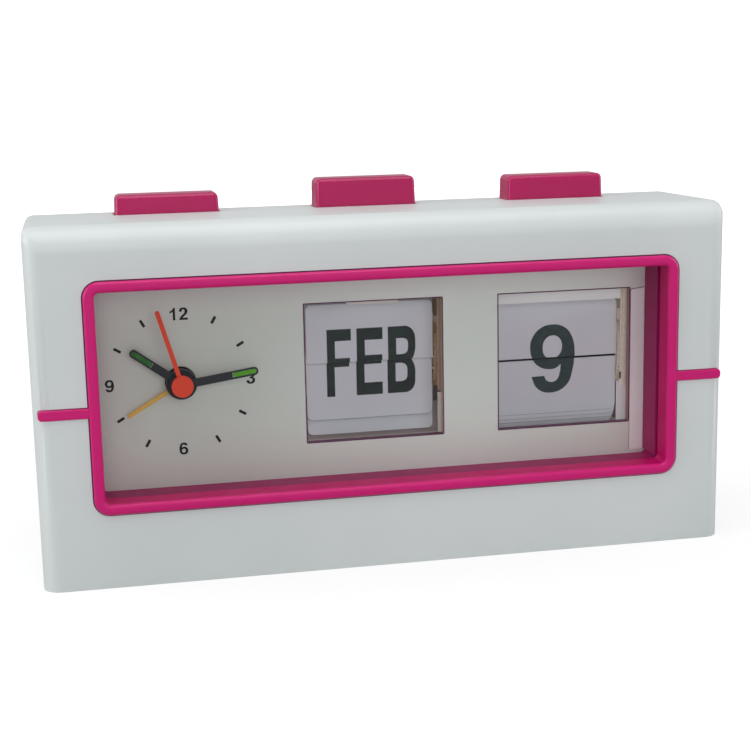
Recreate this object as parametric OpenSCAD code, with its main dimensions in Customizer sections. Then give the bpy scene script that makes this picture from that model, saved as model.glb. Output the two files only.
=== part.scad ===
// Desk clock with an analogue alarm dial and a push-button flip-card calendar.
// X runs to the right, Y to the back and Z up. The origin is the middle of the base.
// Depths are counted backwards from the front face of the case.

/* [Case] */
// Thickness of the case walls
wall = 2.2; // [1.6:0.1:3]
// Radius of the upright front edges
edge_r = 4.5; // [3:0.5:6]
// Radius of the upper front edge
brow_r = 6.5; // [4:0.5:8]
// Fall of the top from the upper front edge to the back
top_fall = 0.5; // [0:0.1:1]
// Radius of the upper side edges
side_r = 1.8; // [1:0.1:4]
// Case front left and right of the bezel
side_rim = 13.45; // [13:0.05:20]
// Case front above the bezel
top_rim = 13.3; // [12:0.1:18]
// Case front below the bezel
bottom_rim = 18.8; // [10:0.1:25]
// Thickness of the rear cover
cover_t = 2; // [1.5:0.1:3]
// Depth of the step that the rear cover sits in
cover_step = 0.9; // [0.6:0.1:1.2]
// Free room between the ratchet wheels and the rear cover
rear_room = 3.2; // [2:0.1:10]
// Radius of the screw pillars in the case corners
pillar_r = 3.5; // [3:0.1:4]

/* [Bezel and lens] */
// Height of the view through the bezel
view_h = 52.4; // [50:0.1:60]
// Width of the bezel's lip
lip_w = 2.75; // [2.4:0.05:4]
// Height of the lip in front of the case
lip_proud = 1; // [0.6:0.1:2]
// Rounding of the lip's front edges
lip_edge_r = 0.7; // [0.3:0.1:0.9]
// Corner radius of the view
view_r = 1.25; // [1:0.05:2]
// Wall of the sleeve behind the lip
sleeve_t = 1.9; // [1.5:0.1:2.2]
// Height of the two side bars
bar_h = 2.5; // [1.5:0.1:4]
// Height of the side bars in front of the case
bar_proud = 0.5; // [0.3:0.1:1]
// Depth of the grooves for the side bars
bar_groove = 0.9; // [0.5:0.1:1]
// Side bars below the middle of the view
bar_drop = 3; // [0:0.1:6]
// Ends of the side bars from the case sides
bar_end = 1.3; // [1.3:0.1:4]
// Rounding of the side bars' ends
bar_end_r = 0.9; // [0.3:0.1:1]
// Depth of the lens behind the case front
lens_depth = 5.5; // [4:0.1:7]
// Thickness of the lens
lens_t = 1.2; // [1:0.1:1.6]
// Width of the lens seat in the sleeve
lens_lap = 0.9; // [0.6:0.1:1.1]

/* [Dial] */
// Room for the hands between lens and dial
hand_room = 8.8; // [8.4:0.1:12]
// Thickness of the dial plate
dial_t = 1; // [0.8:0.1:1.5]
// Dial centre from the left side of the view
dial_inset = 20.7; // [20.2:0.1:26]
// Dial centre above the middle of the view
dial_rise = 0.3; // [-1:0.1:1]
// Width and height of the two card windows
window_s = 37; // [35.5:0.1:39]
// Window centre from the centre of its cards
window_shift = -0.3; // [-0.5:0.1:0.5]

/* [Hands] */
// Length of the hour hand
hour_l = 15.4; // [10:0.1:17]
// Length of the minute hand
minute_l = 19.6; // [15:0.1:20]
// Length of the second hand
second_l = 20.2; // [15:0.1:20.4]
// Length of the alarm hand
alarm_l = 15.9; // [10:0.1:17]
// Clock angle of the hour hand
hour_angle = 306; // [0:1:359]
// Clock angle of the minute hand
minute_angle = 82; // [0:1:359]
// Clock angle of the second hand
second_angle = 344; // [0:1:359]
// Clock angle of the alarm hand
alarm_angle = 240; // [0:1:359]
// Radius of the cap on the second hand
cap_r = 2.75; // [2:0.05:3]
// Width of the hour and minute hands
baton_w = 2.1; // [1.5:0.05:2.5]
// Width of the second hand
second_w = 1.15; // [0.6:0.05:1.5]
// Width of the alarm hand
alarm_w = 1; // [0.6:0.05:1.5]
// Rim of the hour and minute hands beside their luminous strips
baton_rim = 0.45; // [0.3:0.05:0.6]
// Length of the luminous strips
lume_l = 6.2; // [3:0.1:8]
// Thickness of a hand
hand_t = 0.4; // [0.3:0.05:0.5]

/* [Movement] */
// Height of the movement
movement_h = 52; // [50:0.5:53]
// Wall of the battery trough in front of and beside the cell
trough_wall = 1.5; // [1.2:0.1:2]
// Free room between movement and month unit
movement_gap = 1.4; // [0.8:0.1:6]
// Radius of the battery cell
cell_r = 7.25; // [7:0.05:7.25]
// Length of the battery cell without its nub
cell_l = 49.2; // [48:0.1:49.5]
// Length of the battery cell's nub
nub_l = 1; // [0.8:0.1:1.2]
// Room for the coil of the battery's minus contact
coil_room = 3.8; // [3.4:0.1:6]
// Thickness of the battery contacts
contact_t = 0.5; // [0.3:0.05:0.6]
// Radius of the setting knobs
knob_r = 6; // [4.5:0.1:6.5]
// Distance between the setting knobs
knob_pitch = 20; // [19:0.5:24]
// Depth of the knob wells in the rear cover
well_depth = 5; // [4:0.1:5.5]

/* [Card units] */
// Width of a card leaf
leaf_w = 34.2; // [30:0.1:34.6]
// Height of a card leaf above the split line
leaf_len = 15.6; // [15:0.1:16.5]
// Thickness of a card leaf
leaf_t = 0.2; // [0.15:0.01:0.22]
// Corner radius of a card leaf
leaf_corner = 1.5; // [1:0.1:3]
// Radius of the circle that the leaf pins lie on
leaf_r = 6.4; // [6.2:0.1:6.6]
// Radius of a leaf pin
pin_r = 0.25; // [0.2:0.01:0.28]
// Leaves of the month pack
month_count = 12; // [12]
// Leaves of the date pack
date_count = 31; // [31]
// Month split line above the dial centre
month_line = 1.1; // [-1:0.1:1.2]
// Date split line above the dial centre
date_line = -0.9; // [-1:0.1:1.2]
// Gap at the split line of the month pack
month_split = 0.3; // [0.2:0.05:0.6]
// Gap at the split line of the date pack
date_split = 0.68; // [0.64:0.01:0.8]
// Pins of the front leaf ahead of the others
flap_lead = 0.4; // [0.35:0.05:0.45]
// Room between the lens and a leaf that falls
flap_clear = 0.7; // [0.4:0.1:2]
// Free room between the two card units
unit_gap = 9.9; // [3:0.1:14]
// Date unit from the right side of the view
card_inset = 1; // [0.5:0.1:4]
// Radius of the ratchet wheels
ratchet_r = 9; // [8.8:0.1:9.4]
// Tooth depth of the month ratchet
month_tooth = 1.1; // [0.9:0.05:1.15]
// Tooth depth of the date ratchet
date_tooth = 0.9; // [0.8:0.05:1]
// Thickness of the ratchet wheels
wheel_t = 1.8; // [1.6:0.1:2.2]
// Thickness of the spool's plain disc
disc_t = 1.5; // [1.4:0.1:2]
// Radius of the axles
axle_r = 1.2; // [1:0.05:1.4]
// Radius of the spool's hub
hub_r = 2.6; // [2.2:0.1:2.8]
// Thickness of the unit frames
frame_t = 1.2; // [1:0.1:1.5]
// Width of the push rods
rod_w = 2; // [1.8:0.1:2.4]
// Thickness of the push rods
rod_t = 1.6; // [1.2:0.1:1.8]
// Width of the month card stop
month_stop_w = 14; // [8:0.5:16]
// Width of the date card stop
date_stop_w = 33.4; // [16:0.1:34]

/* [Buttons] */
// Width of a button
button_w = 27; // [20:0.5:30]
// Depth of a button
button_d = 10; // [8:0.1:11]
// Height of the alarm button above the case
alarm_rise = 4.6; // [3:0.1:7]
// Height of the month button above the case
month_rise = 7.1; // [5:0.1:9]
// Height of the date button above the case
date_rise = 6.1; // [4:0.1:8]
// Distance between the buttons
button_pitch = 52.5; // [50:0.1:53]
// Back of the buttons from the back of the case
button_back = 4; // [3.8:0.1:8]
// Travel of the alarm button
alarm_stroke = 2; // [1:0.1:2.5]
// Draft of a button on each side
button_draft = 0.3; // [0:0.1:0.8]
// Rounding of a button's upright edges
button_r = 1.2; // [0.9:0.1:1.5]
// Rounding of a button's upper edges
button_top_r = 1; // [0.3:0.1:1.1]
// Radius of a button's stem
stem_r = 2; // [1.5:0.1:2.2]
// Wire of the return springs
spring_wire = 0.5; // [0.4:0.05:0.6]
// Turns of a return spring
spring_turns = 4; // [3:1:5]

/* [Fits] */
// Running clearance of shafts and pins
run_gap = 0.05; // [0.02:0.01:0.08]
// Clearance of pieces that are put together
fit_gap = 0.2; // [0.1:0.05:0.25]
// Clearance of pieces that move past each other
clear_gap = 0.3; // [0.25:0.05:0.35]

/* [Hidden] */
$fn = 64;
hull_fn = 32;
eps = 0.01;

// Depths of the layers
lens_back = lens_depth + lens_t;
dial_depth = lens_back + hand_room;
dial_back = dial_depth + dial_t;
flange_depth = dial_back + 2.5;
rod_gap = 0.35;
rod_u = ratchet_r + rod_gap;
axle_depth = max(lens_back + flap_clear + leaf_len + flap_lead + leaf_r,
    dial_back + frame_t + fit_gap + rod_t + rod_u);
case_d = axle_depth + ratchet_r + rear_room + cover_t;
front_y = -case_d / 2;
cover_depth = case_d - cover_t;
cover_r = max(side_r - wall + cover_step, 0.6);
cell_gap = 0.3;
movement_w = 2 * (trough_wall + contact_t) + nub_l + cell_l + coil_room;
movement_d = trough_wall + cell_gap + 2 * cell_r - 0.3;
movement_back = dial_back + movement_d;

// Places across a card unit, from its middle
wheel_x = leaf_w / 2 + clear_gap;
pin_reach = leaf_w / 2 + 1;
track_depth = 1;
left_cheek = -wheel_x - disc_t - clear_gap;
rod_x = wheel_x + clear_gap;
right_cheek = rod_x + rod_w + 2 * clear_gap;
unit_left = frame_t - left_cheek;
unit_right = right_cheek + frame_t;
guide_x = rod_x - clear_gap - 2;

// Places along the front
view_w = dial_inset + movement_w / 2 + movement_gap + 2 * unit_left + 2 * unit_right + unit_gap + card_inset;
bezel_w = view_w + 2 * lip_w;
bezel_h = view_h + 2 * lip_w;
case_w = bezel_w + 2 * side_rim;
case_h = bottom_rim + bezel_h + top_rim;
back_h = case_h - top_fall;
view_z = bottom_rim + lip_w + view_h / 2;
bar_z = view_z - bar_drop;
dial_x = dial_inset - view_w / 2;
dial_z = view_z + dial_rise;
month_x = dial_x + movement_w / 2 + movement_gap + unit_left;
date_x = month_x + unit_right + unit_gap + unit_left;
month_z = dial_z + month_line;
date_z = dial_z + date_line;
month_pitch = 360 / month_count;
date_pitch = 360 / date_count;

// Ratchets: a pawl takes the wheel on by one tooth in one press
function stroke(tooth, pitch) = (2 * ratchet_r - tooth) * sin(pitch / 2);
month_stroke = stroke(month_tooth, month_pitch);
date_stroke = stroke(date_tooth, date_pitch);
pawl_gap = 0.12;

// Frames of the card units
frame_half = leaf_len + leaf_r * (1 - sin(360 / max(month_count, date_count))) + 1;
frame_flange = 6.2;
boss_lift = frame_half + frame_flange * 0.55;
boss_x = 11;
boss_r = 2.3;
frame_back = axle_depth + leaf_r + 1;
bridge_back = axle_depth + 2.2;

// Screws
screw_r = 1;
screw_head_r = 1.9;
screw_head_t = 1.2;
case_screw_r = 1.4;
case_screw_head_r = 2.6;
case_screw_head_t = 0.8;
pillar_inset = wall + pillar_r + 2.8;
pillar_z = [pillar_inset + 0.5, back_h - pillar_inset - 0.5];
dial_post_x = bezel_w / 2 - 6;
dial_post_z = [bottom_rim - 3.2, bottom_rim + bezel_h + 3.2];
dial_half = case_w / 2 - pillar_inset - pillar_r - clear_gap;

// Buttons, their plate and springs
button_y = front_y + case_d - button_back - button_d / 2;
button_x = [-button_pitch, 0, button_pitch];
flange_t = 1.8;
flange_out = 1.6;
flange_z = back_h - wall - fit_gap - flange_t;
arm_t = 2;
arm_z = flange_z - arm_t;
plate_t = 1.5;
plate_z = dial_z + movement_h / 2 + 0.4;
plate_top = plate_z + plate_t;
stem_tail = 0.2;
post_r = 2.5;
post_out = date_x + rod_x + rod_w + clear_gap + post_r;
post_x = [-post_out, -button_pitch / 2, button_pitch / 2, post_out];
spring_r = stem_r + 0.6 + spring_wire / 2;

// Hand stack: depths of the hands and radii of their pipes
second_depth = lens_back + 2.6;
minute_depth = second_depth + 1.6;
hour_depth = minute_depth + 1.4;
alarm_depth = hour_depth + 1.3;
boss_t = 1;
arbor_r = 0.5;
pipe_wall = 0.7;
minute_pipe_r = arbor_r + run_gap + pipe_wall;
hour_pipe_r = minute_pipe_r + run_gap + pipe_wall;
alarm_pipe_r = hour_pipe_r + run_gap + pipe_wall;
bush_r = alarm_pipe_r + run_gap + 1;
pipe_end = [dial_back + 7.5, dial_back + 9, dial_back + 10.5, dial_back + 12.5];

// Movement, battery and setting knobs
movement_left = dial_x - movement_w / 2;
movement_z0 = dial_z - movement_h / 2;
movement_split = dial_back + movement_d * 0.72;
cell_z = movement_z0 + trough_wall + cell_gap + cell_r;
cell_depth = dial_back + trough_wall + cell_gap + cell_r;
knob_z = dial_z + 7;
knob_x = [dial_x + knob_pitch / 2, dial_x - knob_pitch / 2];
well_r = knob_r + 2.4;
well_floor = case_d - well_depth;
well_wall = 1.4;
shaft_r = 1.5;
buzzer_r = 6;
sound_hole_r = 0.75;
buzzer_z = plate_z - stem_tail - alarm_stroke - clear_gap - buzzer_r - 0.5;
door_w = movement_w - 2.4;
door_h = 2 * cell_r + 4;
door_t = 1.6;
door_lap = 1.6;

// Box between two limits on each axis, with its depth counted from the front
module span(x, d, z) {
    translate([x[0], front_y + d[0], z[0]])
        cube([x[1] - x[0], d[1] - d[0], z[1] - z[0]]);
}

// Flat outline in X and Z, given a thickness backwards from a depth
module layer(d, t) {
    translate([0, front_y + d + t, 0])
        rotate([90, 0, 0])
            linear_extrude(t)
                children();
}

// Outline seen from the left, with its first axis forwards and its second up, drawn between two X
module across(x, d, z) {
    translate([x[1], front_y + d, z])
        rotate([90, 0, -90])
            linear_extrude(x[1] - x[0])
                children();
}

module pin_y(x, z, d, r) {
    translate([x, front_y + d[0], z])
        rotate([-90, 0, 0])
            cylinder(r = r, h = d[1] - d[0]);
}

module pin_x(x, d, z, r) {
    translate([x[0], front_y + d, z])
        rotate([0, 90, 0])
            cylinder(r = r, h = x[1] - x[0]);
}

module round_rect(w, h, r) {
    square([w - 2 * r, h], center = true);
    square([w, h - 2 * r], center = true);
    for (x = [-1, 1], z = [-1, 1])
        translate([x * (w / 2 - r), z * (h / 2 - r)])
            circle(r);
}

// Upright outline with two round upper corners, standing on the first axis
module arch_rect(w, h, r) {
    translate([-w / 2, 0])
        square([w, h - r]);
    translate([-w / 2 + r, 0])
        square([w - 2 * r, h]);
    for (x = [-1, 1])
        translate([x * (w / 2 - r), h - r])
            circle(r);
}

// Screw driven from the back, with its head seated at a depth
module screw_y(x, z, seat, length, r, head_r, head_t) {
    pin_y(x, z, [seat - length, seat + eps], r);
    pin_y(x, z, [seat, seat + head_t], head_r);
}

// Wound wire from z = 0 to z = length, as one tube of six sides
module coil(r0, r1, wire, length, turns) {
    sides = 6;
    rings = 10 * turns;
    points = [for (i = [0:rings], s = [0:sides - 1])
        let (a = 360 * turns * i / rings, b = 360 * s / sides,
             r = r0 + (r1 - r0) * i / rings + wire / 2 * cos(b),
             z = wire / 2 + (length - wire) * i / rings + wire / 2 * sin(b))
        [r * cos(a), r * sin(a), z]];
    walls = [for (i = [0:rings - 1], s = [0:sides - 1])
        let (a = i * sides + s, b = i * sides + (s + 1) % sides)
        each [[a, b, a + sides], [b, b + sides, a + sides]]];
    ends = [for (s = [1:sides - 2])
        each [[0, s + 1, s], [rings * sides, rings * sides + s, rings * sides + s + 1]]];
    polyhedron(points, concat(walls, ends));
}

// Side view of the case: upper front edge rounded, top falling towards the back
module brow_shape(d, h, r, fall) {
    run = [d - r, r - fall];
    turn = atan2(run[1], run[0]) + acos(r / norm(run));
    polygon([[0, 0], [d, 0], [d, h - fall], [r + r * cos(turn), h - r + r * sin(turn)], [r, h - r], [0, h - r]]);
    translate([r, h - r])
        circle(r);
}

// Block with its front edges and upper side edges rounded, open towards the back and the base
module soft_block(w, d, h, r, side, brow) {
    intersection() {
        linear_extrude(h)
            translate([0, d])
                mirror([0, 1])
                    arch_rect(w, d, r);
        translate([0, d, 0])
            rotate([90, 0, 0])
                linear_extrude(d)
                    arch_rect(w, h, side);
        translate([-w / 2, 0, 0])
            rotate([90, 0, 90])
                linear_extrude(w)
                    brow_shape(d, h, brow, top_fall);
    }
}

// Case outline from above, grown or shrunk by a step
module case_plan(step) {
    r = edge_r + step;
    w = case_w + 2 * step;
    translate([-w / 2, front_y - step + r])
        square([w, case_d]);
    translate([-w / 2 + r, front_y - step])
        square([w - 2 * r, case_d]);
    for (x = [-1, 1])
        translate([x * (w / 2 - r), front_y - step + r])
            circle(r);
}

// The two side bars from the bezel to the case sides, with room on all sides of a groove
module side_bars(proud, room) {
    difference() {
        layer(-proud, proud + edge_r)
            translate([0, bar_z])
                round_rect(case_w - 2 * bar_end + 2 * room, bar_h + 2 * room, bar_end_r);
        translate([0, 0, bar_z - bar_h])
            linear_extrude(2 * bar_h) {
                case_plan(-bar_groove - room);
                square([bezel_w - 2 * lip_w + 2 * sleeve_t - eps, 2 * case_d], center = true);
            }
    }
}

module front_case() {
    color("white")
        difference() {
            union() {
                difference() {
                    translate([0, front_y, 0])
                        soft_block(case_w, case_d, case_h, edge_r, side_r, brow_r);
                    translate([0, front_y + wall, wall])
                        soft_block(case_w - 2 * wall, case_d, case_h - 2 * wall, edge_r - wall,
                            max(side_r - wall, 0.5), brow_r - wall);
                    layer(cover_depth, cover_t + 1)
                        translate([0, wall - cover_step])
                            arch_rect(case_w - 2 * wall + 2 * cover_step, back_h - 2 * wall + 2 * cover_step,
                                cover_r);
                }
                for (x = [-1, 1], z = pillar_z)
                    pin_y(x * (case_w / 2 - pillar_inset), z, [wall - eps, cover_depth], pillar_r);
                for (x = [-1, 1], z = dial_post_z)
                    pin_y(x * dial_post_x, z, [wall - eps, dial_depth], boss_r);
                for (x = post_x)
                    translate([x, button_y, plate_top])
                        cylinder(r = post_r, h = case_h - wall - plate_top + eps);
            }
            layer(-1, wall + 2)
                translate([0, view_z])
                    round_rect(view_w + 2 * sleeve_t + 2 * fit_gap, view_h + 2 * sleeve_t + 2 * fit_gap,
                        view_r + sleeve_t);
            side_bars(bar_proud + 1, fit_gap / 2);
            for (x = button_x)
                translate([x, button_y, back_h - wall - 1])
                    linear_extrude(wall + top_fall + 2)
                        round_rect(button_w + 2 * clear_gap, button_d + 2 * clear_gap, button_r);
            for (x = [-1, 1], z = pillar_z)
                pin_y(x * (case_w / 2 - pillar_inset), z, [cover_depth - 10, cover_depth + 1],
                    case_screw_r + run_gap);
            for (x = [-1, 1], z = dial_post_z)
                pin_y(x * dial_post_x, z, [dial_depth - 6, dial_depth + 1], screw_r + run_gap);
            for (x = post_x)
                translate([x, button_y, plate_top - 1])
                    cylinder(r = screw_r + run_gap, h = 6);
        }
}

module rear_cover() {
    cover_w = case_w - 2 * wall + 2 * cover_step - 2 * fit_gap;
    cover_h = back_h - 2 * wall + 2 * cover_step - 2 * fit_gap;
    color("white")
        difference() {
            union() {
                layer(cover_depth, cover_t)
                    translate([0, wall - cover_step + fit_gap])
                        arch_rect(cover_w, cover_h, cover_r - fit_gap);
                for (x = knob_x)
                    pin_y(x, knob_z, [well_floor - well_wall, cover_depth + eps], well_r + well_wall);
                span([dial_x - door_w / 2 - well_wall, dial_x + door_w / 2 + well_wall],
                    [movement_back + fit_gap, cover_depth + eps],
                    [cell_z - door_h / 2 - well_wall, cell_z + door_h / 2 + well_wall]);
            }
            for (x = knob_x) {
                pin_y(x, knob_z, [well_floor, case_d + 1], well_r);
                pin_y(x, knob_z, [well_floor - well_wall - 1, case_d], shaft_r + clear_gap);
            }
            span([dial_x - door_w / 2 + door_lap, dial_x + door_w / 2 - door_lap],
                [movement_back - 1, case_d + 1],
                [cell_z - door_h / 2 + door_lap, cell_z + door_h / 2 - door_lap]);
            span([dial_x - door_w / 2, dial_x + door_w / 2], [case_d - door_t, case_d + 1],
                [cell_z - door_h / 2, cell_z + door_h / 2]);
            for (x = [-1, 1], z = pillar_z) {
                pin_y(x * (case_w / 2 - pillar_inset), z, [cover_depth - 1, case_d + 1], case_screw_r + fit_gap);
                pin_y(x * (case_w / 2 - pillar_inset), z, [case_d - case_screw_head_t, case_d + 1],
                    case_screw_head_r + fit_gap);
            }
            pin_y(dial_x, buzzer_z, [cover_depth - 1, case_d + 1], sound_hole_r);
            for (a = [0:60:300])
                pin_y(dial_x + 4 * sound_hole_r * cos(a), buzzer_z + 4 * sound_hole_r * sin(a),
                    [cover_depth - 1, case_d + 1], sound_hole_r);
        }
}

module battery_door() {
    grip_w = 12;
    color("white")
        difference() {
            union() {
                span([dial_x - door_w / 2 + fit_gap, dial_x + door_w / 2 - fit_gap],
                    [case_d - door_t, case_d],
                    [cell_z - door_h / 2 + fit_gap, cell_z + door_h / 2 - fit_gap]);
                span([dial_x - grip_w / 2, dial_x + grip_w / 2],
                    [case_d - door_t - 2.4, case_d - door_t + eps],
                    [cell_z + door_h / 2 - door_lap - fit_gap - 1, cell_z + door_h / 2 - door_lap - fit_gap]);
                for (x = [-1, 1])
                    span([dial_x + x * door_w / 3 - 2, dial_x + x * door_w / 3 + 2],
                        [case_d - door_t - 2.4, case_d - door_t + eps],
                        [cell_z - door_h / 2 + door_lap + fit_gap, cell_z - door_h / 2 + door_lap + fit_gap + 1]);
            }
            for (i = [0:2])
                span([dial_x - grip_w / 2, dial_x + grip_w / 2], [case_d - 0.5, case_d + 1],
                    [cell_z + door_h / 2 - 3.4 - 1.6 * i, cell_z + door_h / 2 - 2.6 - 1.6 * i]);
        }
}

module case_screws() {
    color("silver")
        for (x = [-1, 1], z = pillar_z)
            screw_y(x * (case_w / 2 - pillar_inset), z, case_d - case_screw_head_t,
                9, case_screw_r, case_screw_head_r, case_screw_head_t);
}

// Section of the bezel's lip: first axis outwards from the view, second axis forwards
module lip_section() {
    square([lip_w, lip_proud - lip_edge_r]);
    translate([lip_edge_r, 0])
        square([lip_w - 2 * lip_edge_r, lip_proud]);
    for (x = [lip_edge_r, lip_w - lip_edge_r])
        translate([x, lip_proud - lip_edge_r])
            circle(lip_edge_r);
}

module lip_ring() {
    half_w = view_w / 2 - view_r;
    half_h = view_h / 2 - view_r;
    translate([0, front_y, view_z])
        rotate([90, 0, 0])
            for (turn = [0, 1])
                rotate([0, 0, 180 * turn]) {
                    translate([half_w + view_r, half_h, 0])
                        rotate([90, 0, 0])
                            linear_extrude(2 * half_h)
                                intersection() {
                                    lip_section();
                                    square([lip_w, lip_proud]);
                                }
                    translate([-half_w, half_h + view_r, 0])
                        rotate([90, 0, 90])
                            linear_extrude(2 * half_w)
                                intersection() {
                                    lip_section();
                                    square([lip_w, lip_proud]);
                                }
                    for (side = [0, 1])
                        translate([half_w * (side == 0 ? 1 : -1), half_h, 0])
                            rotate([0, 0, 90 * side])
                                rotate_extrude(angle = 90)
                                    translate([view_r, 0])
                                        intersection() {
                                            lip_section();
                                            square([lip_w, lip_proud]);
                                        }
                }
}

module bezel() {
    color("mediumvioletred") {
        difference() {
            union() {
                lip_ring();
                layer(-eps, dial_depth + eps)
                    translate([0, view_z])
                        round_rect(view_w + 2 * sleeve_t, view_h + 2 * sleeve_t, view_r + sleeve_t);
                side_bars(bar_proud, 0);
            }
            layer(-lip_proud - 1, lip_proud + dial_depth + 2)
                translate([0, view_z])
                    round_rect(view_w, view_h, view_r);
            layer(lens_depth, dial_depth)
                translate([0, view_z])
                    round_rect(view_w + 2 * lens_lap, view_h + 2 * lens_lap, view_r);
        }
    }
}

module lens() {
    color([0.9, 0.95, 1, 0.3])
        layer(lens_depth, lens_t)
            translate([0, view_z])
                round_rect(view_w + 2 * lens_lap - fit_gap, view_h + 2 * lens_lap - fit_gap, view_r);
}

module dial_plate() {
    z0 = dial_post_z[0] - 3;
    z1 = dial_post_z[1] + 3;
    color("silver")
        difference() {
            union() {
                span([-dial_half, dial_half], [dial_depth, dial_back], [z0, z1]);
                for (unit = [[month_x, month_z], [date_x, date_z]], x = [-1, 1], z = [-1, 1])
                    pin_y(unit[0] + x * boss_x, unit[1] + z * boss_lift, [dial_back - eps, flange_depth], boss_r);
            }
            for (unit = [[month_x, month_z], [date_x, date_z]]) {
                layer(dial_depth - 1, dial_t + 2)
                    translate([unit[0] + window_shift, dial_z])
                        square(window_s, center = true);
                for (x = [-1, 1], z = [-1, 1])
                    pin_y(unit[0] + x * boss_x, unit[1] + z * boss_lift, [dial_back, flange_depth + 1],
                        screw_r + run_gap);
            }
            pin_y(dial_x, dial_z, [dial_depth - 1, dial_back + 1], bush_r + fit_gap);
            for (x = [-1, 1], z = dial_post_z)
                pin_y(x * dial_post_x, z, [dial_depth - 1, dial_back + 1], screw_r + fit_gap);
            for (x = [-1, 1])
                pin_y(dial_x + x * (movement_w / 2 - 4), dial_z + movement_h / 2 - 4,
                    [dial_depth + 0.4, dial_back + 1], screw_r + run_gap);
        }
}

module dial_screws() {
    color("silver")
        for (x = [-1, 1], z = dial_post_z)
            screw_y(x * dial_post_x, z, dial_back, 6, screw_r, screw_head_r, screw_head_t);
}

// Button with its flange and stem
module button(x, rise) {
    top = case_h + rise;
    color("mediumvioletred")
        translate([x, button_y, 0]) {
            hull($fn = hull_fn) {
                translate([0, 0, flange_z + flange_t / 2])
                    linear_extrude(eps)
                        round_rect(button_w, button_d, button_r);
                for (a = [0:30:90])
                    let (inset = button_draft + button_top_r * (1 - cos(a)))
                        translate([0, 0, top - eps - button_top_r * (1 - sin(a))])
                            linear_extrude(eps)
                                round_rect(button_w - 2 * inset, button_d - 2 * inset,
                                    max(button_r - inset + button_draft, 0.15));
            }
            translate([0, 0, flange_z])
                linear_extrude(flange_t)
                    round_rect(button_w + 2 * flange_out, button_d + 2 * flange_out, button_r);
            translate([0, 0, plate_z - stem_tail])
                cylinder(r = stem_r, h = flange_z - plate_z + stem_tail + eps);
        }
}

module alarm_button() {
    button(button_x[0], alarm_rise);
}

module month_button() {
    button(button_x[1], month_rise);
}

module date_button() {
    button(button_x[2], date_rise);
}

module button_plate() {
    half = post_x[3] + post_r + 1;
    color("gainsboro")
        difference() {
            translate([0, button_y, plate_z])
                linear_extrude(plate_t)
                    round_rect(2 * half, button_d + 2, 3);
            for (x = button_x)
                translate([x, button_y, plate_z - 1])
                    cylinder(r = stem_r + run_gap, h = plate_t + 2);
            for (x = post_x)
                translate([x, button_y, plate_z - 1])
                    cylinder(r = screw_r + fit_gap, h = plate_t + 2);
        }
}

module button_plate_screws() {
    color("silver")
        for (x = post_x)
            translate([x, button_y, plate_z - screw_head_t]) {
                cylinder(r = screw_r, h = screw_head_t + 5);
                cylinder(r = screw_head_r, h = screw_head_t);
            }
}

module button_spring(x) {
    color("silver")
        translate([x, button_y, plate_top])
            coil(spring_r, spring_r, spring_wire, arm_z - plate_top, spring_turns);
}

module alarm_button_spring() {
    button_spring(button_x[0]);
}

module month_button_spring() {
    button_spring(button_x[1]);
}

module date_button_spring() {
    button_spring(button_x[2]);
}

// Flat arm under a button's flange that reaches to the rod's X and depth
module button_arm(x, rod, depth) {
    half = 6;
    back = button_y - front_y + 4.5;
    step = button_y - front_y - 4.5;
    difference() {
        union() {
            span([min(x - half, rod[0]), max(x + half, rod[1])], [step, back], [arm_z, flange_z]);
            span(rod, [depth, step + eps], [arm_z, flange_z]);
        }
        translate([x, button_y, arm_z - 1])
            cylinder(r = stem_r + run_gap, h = arm_t + 2);
    }
}

module alarm_push_rod() {
    r = 1.3;
    depth = dial_back + movement_d / 2;
    x = button_x[0];
    color("ivory") {
        button_arm(x, [x - 2, x + 2], depth - 2);
        translate([x, front_y + depth, dial_z + movement_h / 2 - 1])
            cylinder(r = r, h = arm_z - dial_z - movement_h / 2 + 1 + eps);
    }
}

// Rod of a card unit: it comes down in front of the ratchet wheel and carries the pawl's nose
module push_rod(button, unit_x, unit_z, tooth, pitch) {
    rod = [unit_x + rod_x, unit_x + rod_x + rod_w];
    front = axle_depth - rod_u - rod_t;
    nose_z = ratchet_r * sin(pitch / 2) + pawl_gap;
    nose_h = 0.2 * ratchet_r * pitch * PI / 180;
    nose_u = ratchet_r - 0.4 * tooth;
    color("ivory") {
        button_arm(button, rod, front);
        span(rod, [front, front + rod_t], [unit_z - 8.3, arm_z + eps]);
        across(rod, axle_depth, unit_z)
            polygon([
                [rod_u + eps, nose_z], [nose_u, nose_z],
                [nose_u, nose_z + nose_h / 2], [rod_u + eps, nose_z + 1.5 * nose_h]
            ]);
    }
}

module month_push_rod() {
    push_rod(button_x[1], month_x, month_z, month_tooth, month_pitch);
}

module date_push_rod() {
    push_rod(button_x[2], date_x, date_z, date_tooth, date_pitch);
}

// Room for the battery cell and its contacts, open towards the back
module battery_trough() {
    span([movement_left + trough_wall, movement_left + movement_w - trough_wall],
        [cell_depth, movement_back + 1], [cell_z - cell_r - cell_gap, cell_z + cell_r + cell_gap]);
    pin_x([movement_left + trough_wall, movement_left + movement_w - trough_wall],
        cell_depth, cell_z, cell_r + cell_gap);
}

module movement_block(d0, d1) {
    layer(d0, d1 - d0)
        translate([dial_x, dial_z])
            round_rect(movement_w, movement_h, 3);
}

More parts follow.
